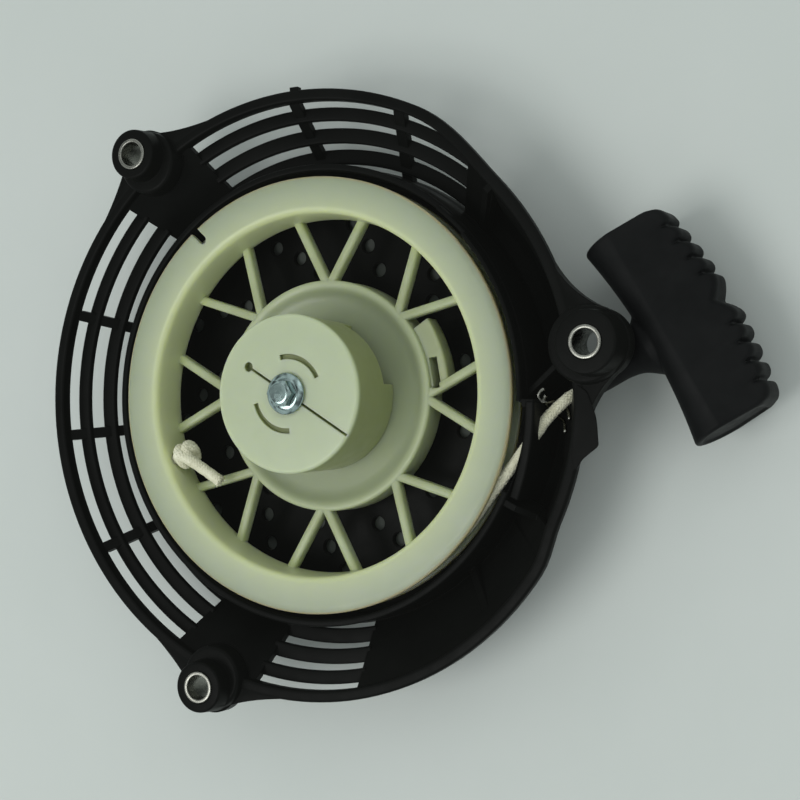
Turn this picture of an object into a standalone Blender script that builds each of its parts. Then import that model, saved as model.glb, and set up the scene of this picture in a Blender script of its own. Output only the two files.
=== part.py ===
"""Recoil starter of a small engine: slotted dish-shaped case, rope reel with ratchet, rope and T grip.

Frame: origin on the reel's axis in the case's outer resting face, +Z towards the engine, +X towards
the side where the rope leaves, metres. The dimensions below are in millimetres.
"""

import math

import bmesh
import bpy
from mathutils import Matrix, Vector

MM = 0.001
GAP = 0.3

# Case
RIM_R, RIM_INNER_R, RIM_TOP_Z = 100.8, 97.0, 35.2
FLOOR_T = 2.5
LIP_R, LIP_OUTER_R, LIP_TOP_Z = 74.6, 76.9, 28.3
GATE = (-24.5, -2.0)  # degrees: the lip steps outwards here and the rope passes through it
GATE_R, GATE_SILL_Z, GATE_TOP_Z = 81.0, 21.2, 33.0
OUTLET_R = 2.7
CONE_LOW, CONE_HIGH = (77.4, 9.8), (97.0, 30.4)  # the skirt's mid-surface, as (radius, height)
CONE_T = 2.6
SLATS = [(91.3, 95.8, 25.3, 27.6), (84.8, 89.9, 19.2, 21.3), (78.6, 83.7, 12.7, 14.8)]  # radii, then heights
SLOTTED = [(51.5, 118.7), (137.7, 239.3), (258.7, 281.5)]
RIBS = [(70.0, 4.0), (93.4, 3.6), (162.8, 3.6), (188.1, 3.6), (213.1, 3.6)]  # angle, width
CHAMBER_Z = 6.0
CHAMBER = (-26.5, 45.0)  # degrees: the deep sector that the rope leaves through
WALL_FOOT_R, WALL_HEAD_R = 84.7, 97.6  # the deep sector's wall leans outwards
DRAW_IN = [(-34.0, 0.0), (-24.0, 2.4), (-2.0, 2.4), (8.0, 4.2), (44.0, 4.2), (66.0, 0.0)]  # degrees, rim depth
HORN_LEAN = 11.7
NIB_ANGLE = 92.3
VENT_ARMS, VENT_HOLES = 12, [(45.0, 15.0), (52.5, 22.0), (60.0, 29.0), (67.0, 37.0)]
VENT_R = 2.5
POST_R, POST_TOP_Z = 7.5, 37.5

# Mounting ears
BOLT_CIRCLE_R, BOSS_TOP_Z = 102.8, 44.6
EARS = {"right": (8.3, 10.0, 17.0), "upper_left": (127.0, 8.6, 17.0), "lower_left": (250.8, 8.6, 17.0)}
EAR_Z = 30.6
BUSH_R, BUSH_BORE_R, BUSH_LOW_Z = 5.25, 4.0, 31.6

# Reel
REEL_R, REEL_TOP_Z, REEL_LOW_Z = 72.5, 31.0, 19.5
DRUM_R, GROOVE_LOW_Z, GROOVE_HIGH_Z = 61.7, 22.0, 28.2
DRUM_INNER_R, DRUM_LOW_Z = 59.5, 16.0
HUB_R, HUB_TOP_Z, HUB_LOW_Z = 38.9, 19.8, 9.5
HUB_PLATE_Z = (14.6, 17.6)
SLEEVE_R, SLEEVE_TOP_Z = 11.0, 37.2
SPOKE_PAIRS, SPOKE_SPREAD, SPOKE_W = 8, 12.0, 3.0
PAWL_PIVOT_R, PAWL_POST_R = 19.0, 2.2

# Ratchet guide, pawls and centre bolt
GUIDE_R, GUIDE_BASE_R, GUIDE_TOP_Z, GUIDE_LOW_Z = 26.0, 25.0, 45.3, 18.1
GUIDE_WALL, GUIDE_BORE_R = 2.0, 5.0
PAWL_Z = (18.0, 24.5)
PAWL_LENGTH, PAWL_REST = 12.5, -8.0
BOLT_R, BOLT_AF, BOLT_FLANGE_R = 3.0, 8.0, 6.8

# Rope and grip
ROPE_R, ROPE_Z = 1.9, 25.0
TANGENT_R, ROPE_ANGLE = 69.6, 52.0
WOUND_R = (62.2, 71.4)
PULL_ORIGIN, PULL_ANGLE, GRIP_Z = (90.0, 0.0), 31.0, 20.0
GRIP_INNER, GRIP_OUTER = 25.0, 53.6  # distances along the pull axis, at the bar's ends
GRIP_HALF, GRIP_RIDGE = 34.5, 0.36  # half the bar's length; where its flat begins, as a share of its depth
GRIP_WAIST, GRIP_BOW = 3.4, 4.2  # at the bar's middle the rope side is hollowed and the outer side bulges
GRIP_HALF_Z, GRIP_EDGE_Z = 12.0, 6.6  # half thickness at the ridge and at the toothed edge
GRIP_GAPS, GAP_DEPTH = [8.9, 15.0, 21.2, 27.4], 3.0  # valleys between the teeth, from the bar's middle
NOTCH_PEAK, NOTCH_DEPTH = 6.2, 4.0
GRIP_MOUTH, STEM_R = 4.6, 4.4


# ---------------------------------------------------------------- helpers

def clear_scene():
    for obj in list(bpy.data.objects):
        bpy.data.objects.remove(obj)


def material(name, colour, roughness, metallic=0.0):
    made = bpy.data.materials.new(name)
    made.use_nodes = True
    shader = made.node_tree.nodes["Principled BSDF"]
    shader.inputs["Base Color"].default_value = (*colour, 1.0)
    shader.inputs["Roughness"].default_value = roughness
    shader.inputs["Metallic"].default_value = metallic
    return made


def polar(radius, degrees, z=0.0):
    a = math.radians(degrees)
    return Vector((radius * math.cos(a), radius * math.sin(a), z))


def add_object(name, bm, finish=None, origin=(0, 0, 0)):
    """Turns a bmesh in millimetres into an object whose origin is at the given place."""
    bmesh.ops.remove_doubles(bm, verts=bm.verts, dist=1e-4)
    bmesh.ops.recalc_face_normals(bm, faces=bm.faces)
    mesh = bpy.data.meshes.new(name)
    bm.transform(Matrix.Scale(MM, 4) @ Matrix.Translation(-Vector(origin)))
    bm.to_mesh(mesh)
    bm.free()
    obj = bpy.data.objects.new(name, mesh)
    obj.location = Vector(origin) * MM
    bpy.context.scene.collection.objects.link(obj)
    mesh.shade_smooth()
    mesh.set_sharp_from_angle(angle=math.radians(35))
    if finish:
        mesh.materials.append(finish)
    return obj


def loft(rings, closed=False):
    """A closed solid through rings of points: joined end to end, or capped at both ends."""
    bm = bmesh.new()
    loops = [[bm.verts.new(p) for p in ring] for ring in rings]
    count = len(loops[0])
    pairs = list(zip(loops, loops[1:] + loops[:1])) if closed else list(zip(loops, loops[1:]))
    for low, high in pairs:
        for i in range(count):
            j = (i + 1) % count
            bm.faces.new((low[i], low[j], high[j], high[i]))
    if not closed:
        bm.faces.new(list(reversed(loops[0])))
        bm.faces.new(loops[-1])
    return bm


def revolve(profile, start=0.0, end=360.0, step=6.0):
    """Turns a closed (radius, height) outline about Z, all the way round or through a sector."""
    full = end - start >= 360.0
    count = max(2, round((end - start) / step))
    angles = [start + (end - start) * i / count for i in range(count + (0 if full else 1))]
    rings = [[polar(r, a, z) for r, z in profile] for a in angles]
    return loft(rings, closed=full)


def turned(profile, step=6.0):
    """As revolve, for an outline whose first and last points lie on the axis."""
    bm = bmesh.new()
    count = round(360 / step)
    ends = [bm.verts.new((0, 0, profile[0][1])), bm.verts.new((0, 0, profile[-1][1]))]
    loops = [[bm.verts.new(polar(r, 360 * i / count, z)) for i in range(count)] for r, z in profile[1:-1]]
    for low, high in zip(loops, loops[1:]):
        for i in range(count):
            j = (i + 1) % count
            bm.faces.new((low[i], low[j], high[j], high[i]))
    for i in range(count):
        j = (i + 1) % count
        bm.faces.new((ends[0], loops[0][j], loops[0][i]))
        bm.faces.new((ends[1], loops[-1][i], loops[-1][j]))
    return bm


def prism(outline, low, high):
    """A flat (x, y) outline raised from one height to another."""
    return loft([[Vector((x, y, low)) for x, y in outline], [Vector((x, y, high)) for x, y in outline]])


def circle(radius, count, centre=(0, 0), turn=0.0):
    return [(centre[0] + radius * math.cos(2 * math.pi * i / count + turn),
             centre[1] + radius * math.sin(2 * math.pi * i / count + turn)) for i in range(count)]


def drum(radius, low, high, centre=(0, 0), count=24, top_radius=None):
    """A round solid on a vertical axis, tapered where top_radius is given."""
    top = circle(top_radius or radius, count, centre)
    return loft([[Vector((x, y, low)) for x, y in circle(radius, count, centre)],
                 [Vector((x, y, high)) for x, y in top]])


def tube(inner, outer, low, high, centre=(0, 0), step=15.0):
    bm = revolve([(inner, low), (outer, low), (outer, high), (inner, high)], step=step)
    bm.transform(Matrix.Translation((centre[0], centre[1], 0)))
    return bm


def bar(start, end, width, height):
    """A square-ended bar between two points, its width level and its height at right angles to it."""
    start, end = Vector(start), Vector(end)
    along = (end - start).normalized()
    side = along.cross(Vector((0, 0, 1))).normalized() * width / 2
    up = side.cross(along).normalized() * height / 2
    corners = [side + up, -side + up, -side - up, side - up]
    return loft([[start + c for c in corners], [end + c for c in corners]])


def sweep(points, radius, sides=8, closed=False):
    """A round section carried along a path without twisting."""
    points = [Vector(p) for p in points]
    count = len(points)
    rings = []
    normal = None
    for i, point in enumerate(points):
        before = points[i - 1] if i or closed else point
        after = points[(i + 1) % count] if i < count - 1 or closed else point
        along = (after - before).normalized()
        if normal is None:
            normal = along.orthogonal().normalized()
        normal = (normal - along * normal.dot(along)).normalized()
        across = along.cross(normal)
        size = radius[i] if isinstance(radius, (list, tuple)) else radius
        rings.append([point + (normal * math.cos(t) + across * math.sin(t)) * size
                      for t in (2 * math.pi * k / sides for k in range(sides))])
    return loft(rings, closed=closed)


def helpers(name, shapes):
    """A hidden collection of cutters, or of shapes to join."""
    made = bpy.data.collections.new(name)
    bpy.context.scene.collection.children.link(made)
    for i, bm in enumerate(shapes):
        obj = add_object(f"{name}_{i}", bm)
        bpy.context.scene.collection.objects.unlink(obj)
        made.objects.link(obj)
        obj.hide_render = True
        obj.display_type = "WIRE"
    return made


def combine(obj, operation, shapes):
    modifier = obj.modifiers.new(operation.title(), "BOOLEAN")
    modifier.operation = operation
    modifier.solver = "EXACT"
    modifier.operand_type = "COLLECTION"
    modifier.collection = helpers(f"{obj.name}_{operation.lower()}_{len(obj.modifiers)}", shapes)


# ---------------------------------------------------------------- case

def cone_point(along, off):
    """A point of the skirt's section: distance from its low end, and height above its mid-surface."""
    length = math.dist(CONE_LOW, CONE_HIGH)
    dr, dz = (CONE_HIGH[0] - CONE_LOW[0]) / length, (CONE_HIGH[1] - CONE_LOW[1]) / length
    return CONE_LOW[0] + dr * along - dz * off, CONE_LOW[1] + dz * along + dr * off


def cone_height(radius, off):
    """Height of the skirt's surface at a radius."""
    r0, z0 = cone_point(0, off)
    return z0 + (radius - r0) * (CONE_HIGH[1] - CONE_LOW[1]) / (CONE_HIGH[0] - CONE_LOW[0])


def rim_depth(angle):
    """How far the rim is drawn in at an angle: it runs flatter beside the rope outlet."""
    for (a0, d0), (a1, d1) in zip(DRAW_IN, DRAW_IN[1:]):
        if a0 <= angle <= a1:
            t = (angle - a0) / (a1 - a0)
            return d0 + (d1 - d0) * t * t * (3 - 2 * t)
    return 0.0


def draw_in(bm):
    """Moves the rim of a revolved shape in by rim_depth."""
    for vert in bm.verts:
        radius = math.hypot(vert.co.x, vert.co.y)
        if radius < 95:
            continue
        scale = 1 - rim_depth(math.degrees(math.atan2(vert.co.y, vert.co.x))) / radius
        vert.co.x *= scale
        vert.co.y *= scale
    return bm


def rim_profile():
    return [(RIM_INNER_R, 30.8), (RIM_R, 32.0), (RIM_R, RIM_TOP_Z - 0.8), (RIM_R - 0.8, RIM_TOP_Z),
            (RIM_INNER_R + 0.6, RIM_TOP_Z), (RIM_INNER_R, RIM_TOP_Z - 0.6)]


def case_skirt():
    """Solid sectors of the sloping skirt, and flat ring slats like louvres between them."""
    half = CONE_T / 2
    profile = [(LIP_OUTER_R - 1.0, cone_height(LIP_OUTER_R - 1.0, -half)), (98.4, cone_height(98.4, -half)),
               (98.4, 33.0), (RIM_INNER_R + 0.4, 33.0), (RIM_INNER_R + 0.4, cone_height(RIM_INNER_R + 0.4, half)),
               (LIP_OUTER_R - 1.0, cone_height(LIP_OUTER_R - 1.0, half))]
    solid = [(a[1], b[0]) for a, b in zip(SLOTTED, SLOTTED[1:])]
    solid += [(SLOTTED[-1][1], 360 + CHAMBER[0] + 0.5), (CHAMBER[1] - 1.1, SLOTTED[0][0] + 0.3)]
    shapes = [draw_in(revolve(profile, start, end)) for start, end in solid]
    shapes.append(draw_in(revolve(rim_profile())))
    for start, end in SLOTTED:
        for inner, outer, low, high in SLATS:
            slat = [(inner, low), (outer - 0.3, low + 0.3), (outer, high), (inner + 0.3, high - 0.4)]
            shapes.append(revolve(slat, start - 0.8, end + 0.8))
    return shapes


def wall_radius(z):
    """Outer radius of the deep sector's leaning wall at a height."""
    return WALL_FOOT_R + (WALL_HEAD_R - WALL_FOOT_R) * (z - CHAMBER_Z) / (31.0 - CHAMBER_Z)


def case_chamber():
    """The deep sector: a floor and a steep leaning wall in place of the sloping skirt."""
    profile = [(LIP_R + 0.6, CHAMBER_Z), (WALL_FOOT_R - 1.0, CHAMBER_Z), (wall_radius(8.0), 8.0),
               (WALL_HEAD_R + 0.8, 31.0), (WALL_HEAD_R + 0.8, 33.0), (WALL_HEAD_R - 1.0, 33.0),
               (WALL_HEAD_R - 1.9, 30.0), (wall_radius(10.5) - 2.2, 10.5),
               (wall_radius(8.5) - 3.2, CHAMBER_Z + FLOOR_T), (LIP_R + 0.6, CHAMBER_Z + FLOOR_T)]
    return draw_in(revolve(profile, CHAMBER[0], CHAMBER[1], 5.0))


def case_gate():
    """Thick outer step of the lip that the rope passes through, and the tall lip beside it."""
    start, end = GATE
    rings = []
    for i in range(6):
        share = i / 5
        top = LIP_TOP_Z + 0.2 + (GATE_TOP_Z - LIP_TOP_Z) * share ** 0.8
        wall = [(78.1, 7.0), (GATE_R, 7.0), (GATE_R, top), (78.1, top)]
        rings.append([polar(r, start + (end - start) * share, z) for r, z in wall])
    foot = [(LIP_OUTER_R - 0.4, 7.0), (79.0, 7.0), (79.0, 20.9), (LIP_OUTER_R - 0.4, 20.9)]
    cheek = [(LIP_OUTER_R - 0.6, 7.0), (80.6, 7.0), (80.6, 32.6), (LIP_OUTER_R - 0.6, 32.6)]
    tall = [(LIP_R - 0.2, 24.0), (LIP_OUTER_R - 0.2, 24.0), (LIP_OUTER_R - 0.6, 33.0), (LIP_R + 0.2, 33.0)]
    ramp = [(LIP_R - 0.1, 24.0), (LIP_OUTER_R - 0.1, 24.0), (LIP_OUTER_R - 0.5, 30.8), (LIP_R + 0.3, 30.8)]
    return [loft(rings), revolve(foot, *GATE, 5.0), revolve(cheek, GATE[1] - 1.2, GATE[1] + 0.6),
            revolve(tall, GATE[1], 42.0, 5.0), revolve(ramp, 41.0, 52.0, 5.0)]


def radial_plate(angle, section, thickness):
    """A plate standing along a radius, its outline given as (radius, height)."""
    side = polar(thickness / 2, angle + 90)
    return loft([[polar(r, angle, z) - side for r, z in section],
                 [polar(r, angle, z) + side for r, z in section]])


def case_partitions():
    foot, head = wall_radius(CHAMBER_Z + 1.0), wall_radius(31.0) - 1.0
    root = LIP_R + 0.8
    tight = head - rim_depth(CHAMBER[1])
    upper = [(root, CHAMBER_Z + 0.3), (foot - 1.4, CHAMBER_Z + 0.3), (tight, 31.6), (tight - 2.2, 31.6),
             (root, cone_height(root, 2.5))]
    lower = [(root, CHAMBER_Z + 0.3), (foot - 1.4, CHAMBER_Z + 0.3), (wall_radius(20.4) - 1.0, 20.4),
             (GATE_R, LIP_TOP_Z - 0.6), (root, LIP_TOP_Z - 0.9)]
    low = [(root, cone_height(root, -0.8)), (97.6, cone_height(97.6, -0.8)), (97.6, 32.0),
           (root, cone_height(root, 3.6))]
    rib = [(root, cone_height(root, -1.6)), (97.6, cone_height(97.6, -1.6)), (97.6, 32.0),
           (96.4, cone_height(96.4, 1.0)), (root, cone_height(root, 1.0))]
    guide_wall = bar((75.8, -0.4, 16.6), (86.5, 9.4, 16.6), 1.7, 20.6)
    plates = [radial_plate(CHAMBER[1], upper, 2.4), radial_plate(CHAMBER[0], lower, 2.0),
              radial_plate(-47.5, low, 2.6), guide_wall]
    return plates + [radial_plate(angle, rib, width) for angle, width in RIBS]


def ear_outline(angle, tip_r, foot_half):
    """Outline of an ear's plate: round at the tip, its flanks running out to the rim in hollow curves."""
    centre = polar(BOLT_CIRCLE_R, angle)
    tip = [centre + polar(tip_r, angle - 66 + 132 * i / 10) for i in range(11)]
    flanks = []
    for sign in (1, -1):
        start = tip[-1] if sign > 0 else tip[0]
        foot_angle, pull_angle = angle + sign * foot_half, angle + sign * foot_half * 0.56
        foot = polar(RIM_R - 0.6 - rim_depth(foot_angle), foot_angle)
        pull = polar(RIM_R + 1.4 - rim_depth(pull_angle), pull_angle)
        steps = [i / 7 for i in range(1, 8)]
        flanks.append([start * (1 - t) ** 2 + pull * 2 * t * (1 - t) + foot * t * t for t in steps])
    inner = [polar(RIM_INNER_R + 0.6 - rim_depth(angle + foot_half * k), angle + foot_half * k)
             for k in (0.9, 0.45, 0, -0.45, -0.9)]
    ordered = tip + flanks[0] + inner + list(reversed(flanks[1]))
    return [(p.x, p.y) for p in ordered]


def case_ears():
    shapes = []
    for angle, boss_r, foot_half in EARS.values():
        centre = polar(BOLT_CIRCLE_R, angle)
        inner = polar(BOLT_CIRCLE_R - 2.6, angle)
        shapes.append(prism(ear_outline(angle, boss_r + 1.0, foot_half), EAR_Z, RIM_TOP_Z - 0.2))
        shapes.append(drum(boss_r + 0.7, EAR_Z + 1.5, BOSS_TOP_Z, centre[:2], 32, boss_r - 0.2))
        shapes.append(drum(boss_r + 2.6, EAR_Z + 0.6, 38.2, inner[:2], 32, boss_r + 1.9))
    return shapes


def case_nib():
    """Small locating nib on the outside of the rim."""
    return bar(polar(RIM_R - 1.0, NIB_ANGLE, 33.6), polar(RIM_R + 1.1, NIB_ANGLE, 33.6), 3.0, 2.4)


def case_horn():
    """Block on the rim below the right ear that the rope leaves through, leaning with the wall."""
    outline = [(96.0, 2.2), (99.0, 0.3), (102.2, -7.4), (102.9, -16.4), (97.6, -20.4), (95.2, -24.2), (94.2, -19.2)]
    top, foot = RIM_TOP_Z + 0.08, 12.0
    return loft([[Vector((x - HORN_LEAN, y, foot)) for x, y in outline], [Vector((x, y, top)) for x, y in outline]])


def pull_point(distance, aside=0.0, z=GRIP_Z):
    a = math.radians(PULL_ANGLE)
    return Vector((PULL_ORIGIN[0] + distance * math.cos(a) + aside * math.sin(a),
                   PULL_ORIGIN[1] + distance * math.sin(a) - aside * math.cos(a), z))


def rope_path():
    """Centre line of the free rope: off the reel, round the guide, and out along the pull axis."""
    tangent = polar(TANGENT_R, ROPE_ANGLE - 90, ROPE_Z)
    along = polar(1.0, ROPE_ANGLE)
    straight = [tangent + along * s for s in (25.0, 32.0, 39.0, 45.0)]
    return straight + [pull_point(-3.0, 0.7, 23.6), pull_point(1.0, 0.1, 21.2), pull_point(5.0), pull_point(12.0),
                       pull_point(22.0)]


def vent_cutters():
    shapes = []
    for arm in range(VENT_ARMS):
        for radius, angle in VENT_HOLES:
            centre = polar(radius, angle + arm * 360 / VENT_ARMS)
            shapes.append(drum(VENT_R, -1.0, FLOOR_T + 1.0, centre[:2], 8))
    return shapes


def make_case(finish):
    profile = [(0, 0), (74.0, 0), (76.0, 0.9), (77.4, 3.0), (LIP_OUTER_R + 0.6, 10.0), (LIP_OUTER_R, 12.0),
               (LIP_OUTER_R, LIP_TOP_Z - 0.4), (LIP_OUTER_R - 0.4, LIP_TOP_Z), (LIP_R + 0.4, LIP_TOP_Z),
               (LIP_R, LIP_TOP_Z - 0.4), (LIP_R, 4.5), (LIP_R - 1.6, FLOOR_T), (POST_R + 3.0, FLOOR_T),
               (POST_R, FLOOR_T + 3.0), (POST_R, POST_TOP_Z), (0, POST_TOP_Z)]
    case = add_object("case", turned(profile), finish)
    combine(case, "UNION", [*case_skirt(), case_chamber(), *case_gate(), case_horn(), case_nib(), *case_partitions(),
                            *case_ears()])
    cutters = vent_cutters()
    cutters.append(drum(3.3, 12.0, POST_TOP_Z + 1, count=16))
    cutters.append(drum(4.8, 23.7, POST_TOP_Z + 1, count=16))
    for angle, _, _ in EARS.values():
        centre = polar(BOLT_CIRCLE_R, angle)
        cutters.append(drum(BUSH_R + GAP, BUSH_LOW_Z - GAP, BOSS_TOP_Z + 1, centre[:2], 24))
        cutters.append(drum(BUSH_BORE_R + 0.4, 25.0, BUSH_LOW_Z + 1, centre[:2], 24))
    cutters.append(sweep([pull_point(-3.0, 0.7, 23.6), pull_point(1.0, 0.1, 21.2), pull_point(7.0)], OUTLET_R, 12))
    lowered = revolve([(LIP_R - 2, GATE_SILL_Z), (LIP_OUTER_R - 0.2, GATE_SILL_Z), (LIP_OUTER_R - 0.2, 34),
                       (LIP_R - 2, 34)], GATE[0] + 0.4, GATE[1] - 0.4, 5.0)
    cutters.append(lowered)
    through_lip = [polar(TANGENT_R, ROPE_ANGLE - 90, ROPE_Z) + polar(s, ROPE_ANGLE) for s in (26.0, 46.0)]
    cutters.append(sweep(through_lip, ROPE_R + 0.5, 12))
    combine(case, "DIFFERENCE", cutters)
    return case


def make_bushes(finish):
    for name, (angle, _, _) in EARS.items():
        centre = polar(BOLT_CIRCLE_R, angle)
        add_object(f"bush_{name}", tube(BUSH_BORE_R, BUSH_R, BUSH_LOW_Z, BOSS_TOP_Z + 0.4, centre[:2]), finish)


def make_post_insert(finish):
    add_object("post_insert", tube(3.3, 4.5, 24.0, POST_TOP_Z - 0.1, step=22.5), finish)


def make_rope_guide(finish):
    """Bent wire that holds the rope to the case where it turns."""
    centre = polar(TANGENT_R, ROPE_ANGLE - 90, ROPE_Z) + polar(50.0, ROPE_ANGLE)
    across, up = polar(1.0, ROPE_ANGLE - 90), Vector((0, 0, 1))
    points = [centre + across * 3.9 * math.cos(t) + up * 3.5 * math.sin(t)
              for t in (math.radians(-20 + 290 * i / 18) for i in range(19))]
    add_object("rope_guide", sweep(points, 0.65, 8), finish)


# ---------------------------------------------------------------- springs

def make_recoil_spring(finish):
    """Flat strip wound from the post to the outside of the hub's spring housing."""
    turns, inner, outer, width = 6.0, 11.8, 35.0, 0.5
    count = int(turns * 20)
    low, high = 4.2, 13.6
    inside, outside = [], []
    for i in range(count + 1):
        share = i / count
        radius = inner + (outer - inner) * share
        inside.append(polar(radius, 360 * turns * share))
        outside.append(polar(radius + width, 360 * turns * share))
    rings = []
    for a, b in zip(inside, outside):
        rings.append([Vector((a.x, a.y, low)), Vector((b.x, b.y, low)), Vector((b.x, b.y, high)),
                      Vector((a.x, a.y, high))])
    add_object("recoil_spring", loft(rings), finish)


def make_friction_spring(finish):
    points = [polar(7.6, 20 + 320 * i / 24, 40.6) for i in range(25)]
    add_object("friction_spring", sweep(points, 1.1, 8), finish)


def make_pawl_spring(name, turn, finish):
    """Wire that hugs the pawl's post and lies along the pawl."""
    pivot = polar(PAWL_PIVOT_R, turn)
    hoop = [pivot + polar(3.2, turn + 200 + 270 * i / 14, 25.6) for i in range(15)]
    leg = [hoop[-1] + polar(3.0 * k, turn + 99) for k in (1, 2)]
    add_object(name, sweep(hoop + leg, 0.45, 6), finish)


# ---------------------------------------------------------------- reel

def spoke_shapes():
    shapes = []
    for pair in range(SPOKE_PAIRS):
        apex = 360 / SPOKE_PAIRS * pair - 1.0
        for spread in (-SPOKE_SPREAD, SPOKE_SPREAD):
            start = polar(HUB_R - 1.6, apex + spread * 0.06, HUB_TOP_Z - 2.5)
            end = polar(DRUM_INNER_R + 0.8, apex + spread, HUB_TOP_Z - 2.5)
            shapes.append(bar(start, end, SPOKE_W, 4.6))
    return shapes


def make_reel(finish):
    r = REEL_R
    rim = [(DRUM_INNER_R, DRUM_LOW_Z), (DRUM_R - 0.2, DRUM_LOW_Z), (DRUM_R, REEL_LOW_Z),
           (r - 0.9, REEL_LOW_Z), (r - 0.5, REEL_LOW_Z + 0.4), (r - 0.5, GROOVE_LOW_Z - 0.3),
           (DRUM_R, GROOVE_LOW_Z), (DRUM_R, GROOVE_HIGH_Z), (r - 0.2, GROOVE_HIGH_Z + 0.5),
           (r, GROOVE_HIGH_Z + 0.8), (r, REEL_TOP_Z - 0.5), (r - 0.5, REEL_TOP_Z),
           (DRUM_INNER_R + 3.4, REEL_TOP_Z), (DRUM_INNER_R + 1.9, REEL_TOP_Z - 0.6),
           (DRUM_INNER_R + 1.0, REEL_TOP_Z - 2.2), (DRUM_INNER_R + 0.4, REEL_LOW_Z + 1.0)]
    hub = [(POST_R + GAP, HUB_LOW_Z), (SLEEVE_R, HUB_LOW_Z), (SLEEVE_R, HUB_PLATE_Z[0]),
           (HUB_R - 2.0, HUB_PLATE_Z[0]), (HUB_R - 2.0, HUB_LOW_Z), (HUB_R, HUB_LOW_Z),
           (HUB_R, HUB_TOP_Z - 0.9), (HUB_R - 0.7, HUB_TOP_Z), (HUB_R - 1.9, HUB_TOP_Z),
           (HUB_R - 5.6, HUB_PLATE_Z[1] + 0.1), (SLEEVE_R + 1.0, HUB_PLATE_Z[1]),
           (SLEEVE_R, HUB_PLATE_Z[1] + 1.0), (SLEEVE_R, SLEEVE_TOP_Z), (POST_R + GAP, SLEEVE_TOP_Z)]
    reel = add_object("reel", revolve(rim), finish)
    lug = revolve([(HUB_R - 1.0, 11.0), (45.0, 11.0), (45.0, 17.6), (44.4, 18.2), (HUB_R - 1.0, 18.2)], 4, 34, 5)
    posts = [drum(PAWL_POST_R, HUB_PLATE_Z[1] - 1, 26.6, polar(PAWL_PIVOT_R, turn)[:2], 16) for turn in (0, 180)]
    combine(reel, "UNION", [revolve(hub), lug, *spoke_shapes(), *posts])
    pocket = bar(polar(41.2, 3.0, 15), polar(41.2, 17.5, 15), 2.9, 12.0)
    notch = bar(polar(74.5, 129.2, 29), polar(67.8, 128.2, 29), 3.0, 6.0)
    notch_end = drum(1.5, 26, 33, polar(67.8, 128.2)[:2], 12)
    rope_hole = sweep([polar(54.0, 201.5, ROPE_Z), polar(66.0, 201.5, ROPE_Z)], 2.4, 12)
    combine(reel, "DIFFERENCE", [pocket, notch, notch_end, rope_hole])


def make_rope_wound(finish):
    """The coil in the reel's groove, three layers deep, drawn as one ring with rounded flanks."""
    low, high = ROPE_Z - ROPE_R, ROPE_Z + ROPE_R
    inner, outer = WOUND_R
    profile = [(inner, low + 0.6), (inner + 0.6, low), (outer - 1.0, low), (outer - 0.3, low + 0.6),
               (outer, ROPE_Z), (outer - 0.3, high - 0.6), (outer - 1.0, high), (inner + 0.6, high),
               (inner, high - 0.6)]
    add_object("rope_wound", revolve(profile), finish)


def make_reel_knot(finish):
    """Knot inside the drum's wall, with its free end."""
    centre = polar(54.0, 201.5, ROPE_Z - 0.6)
    tail = Vector((-38.2, -29.2, 23.4))
    wall = polar(60.8, 201.5, ROPE_Z)
    points = [wall, polar(58.9, 201.5, ROPE_Z), polar(58.2, 201.5, ROPE_Z - 0.3), polar(56.4, 201.5, ROPE_Z - 0.4),
              centre, centre.lerp(tail, 0.16), centre.lerp(tail, 0.24), centre.lerp(tail, 0.5), tail]
    add_object("reel_knot", sweep(points, [1.9, 1.9, 3.6, 4.9, 5.2, 4.4, 2.4, 1.9, 1.8], 12), finish)


# ---------------------------------------------------------------- ratchet

def arc_groove(start, end):
    return revolve([(11.3, GUIDE_TOP_Z - 0.7), (12.9, GUIDE_TOP_Z - 0.7), (12.9, GUIDE_TOP_Z + 1),
                    (11.3, GUIDE_TOP_Z + 1)], start, end, 8)


def make_ratchet_guide(finish):
    top = GUIDE_TOP_Z
    profile = [(GUIDE_BORE_R, top - 3.0), (GUIDE_R - GUIDE_WALL - 0.2, top - 3.0),
               (GUIDE_BASE_R - GUIDE_WALL, GUIDE_LOW_Z), (GUIDE_BASE_R, GUIDE_LOW_Z),
               (GUIDE_R, top - 1.2), (GUIDE_R - 0.4, top - 0.4), (GUIDE_R - 1.2, top), (GUIDE_BORE_R, top)]
    guide = add_object("ratchet_guide", revolve(profile), finish)
    windows = [revolve([(21.0, GUIDE_LOW_Z - 2), (28.0, GUIDE_LOW_Z - 2), (28.0, 25.4), (21.0, 25.4)],
                       turn + 8, turn + 68, 6) for turn in (0, 180)]
    slit = bar(polar(17.0, 148.5, top - 1), polar(25.6, -31.5, top - 1), 0.9, 6.0)
    keyhole = drum(1.6, top - 5, top + 1, polar(17.0, 148.5)[:2], 12)
    combine(guide, "DIFFERENCE", [*windows, slit, keyhole, arc_groove(25, 103), arc_groove(195, 275)])


def make_pawl(name, turn, finish):
    """Flat pawl with its eye on the reel's post and its tip ahead of it in the pull direction."""
    pivot = polar(PAWL_PIVOT_R, turn)
    aim = turn + 90 - PAWL_REST
    along, aside = polar(1.0, aim), polar(1.0, aim - 90)
    outline = []
    for i in range(9):
        outline.append(pivot + polar(3.7, aim + 90 + 22.5 * i))
    outline += [pivot + along * (PAWL_LENGTH - 1.0) + aside * 1.4, pivot + along * (PAWL_LENGTH + 0.6) + aside * 0.8,
                pivot + along * (PAWL_LENGTH + 0.6) - aside * 1.2, pivot + along * (PAWL_LENGTH - 3.0) - aside * 2.6]
    pawl = add_object(name, prism([(p.x, p.y) for p in outline], *PAWL_Z), finish, pivot)
    hole = drum(PAWL_POST_R + GAP, PAWL_Z[0] - 1, PAWL_Z[1] + 1, pivot[:2], 16)
    combine(pawl, "DIFFERENCE", [hole])


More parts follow.
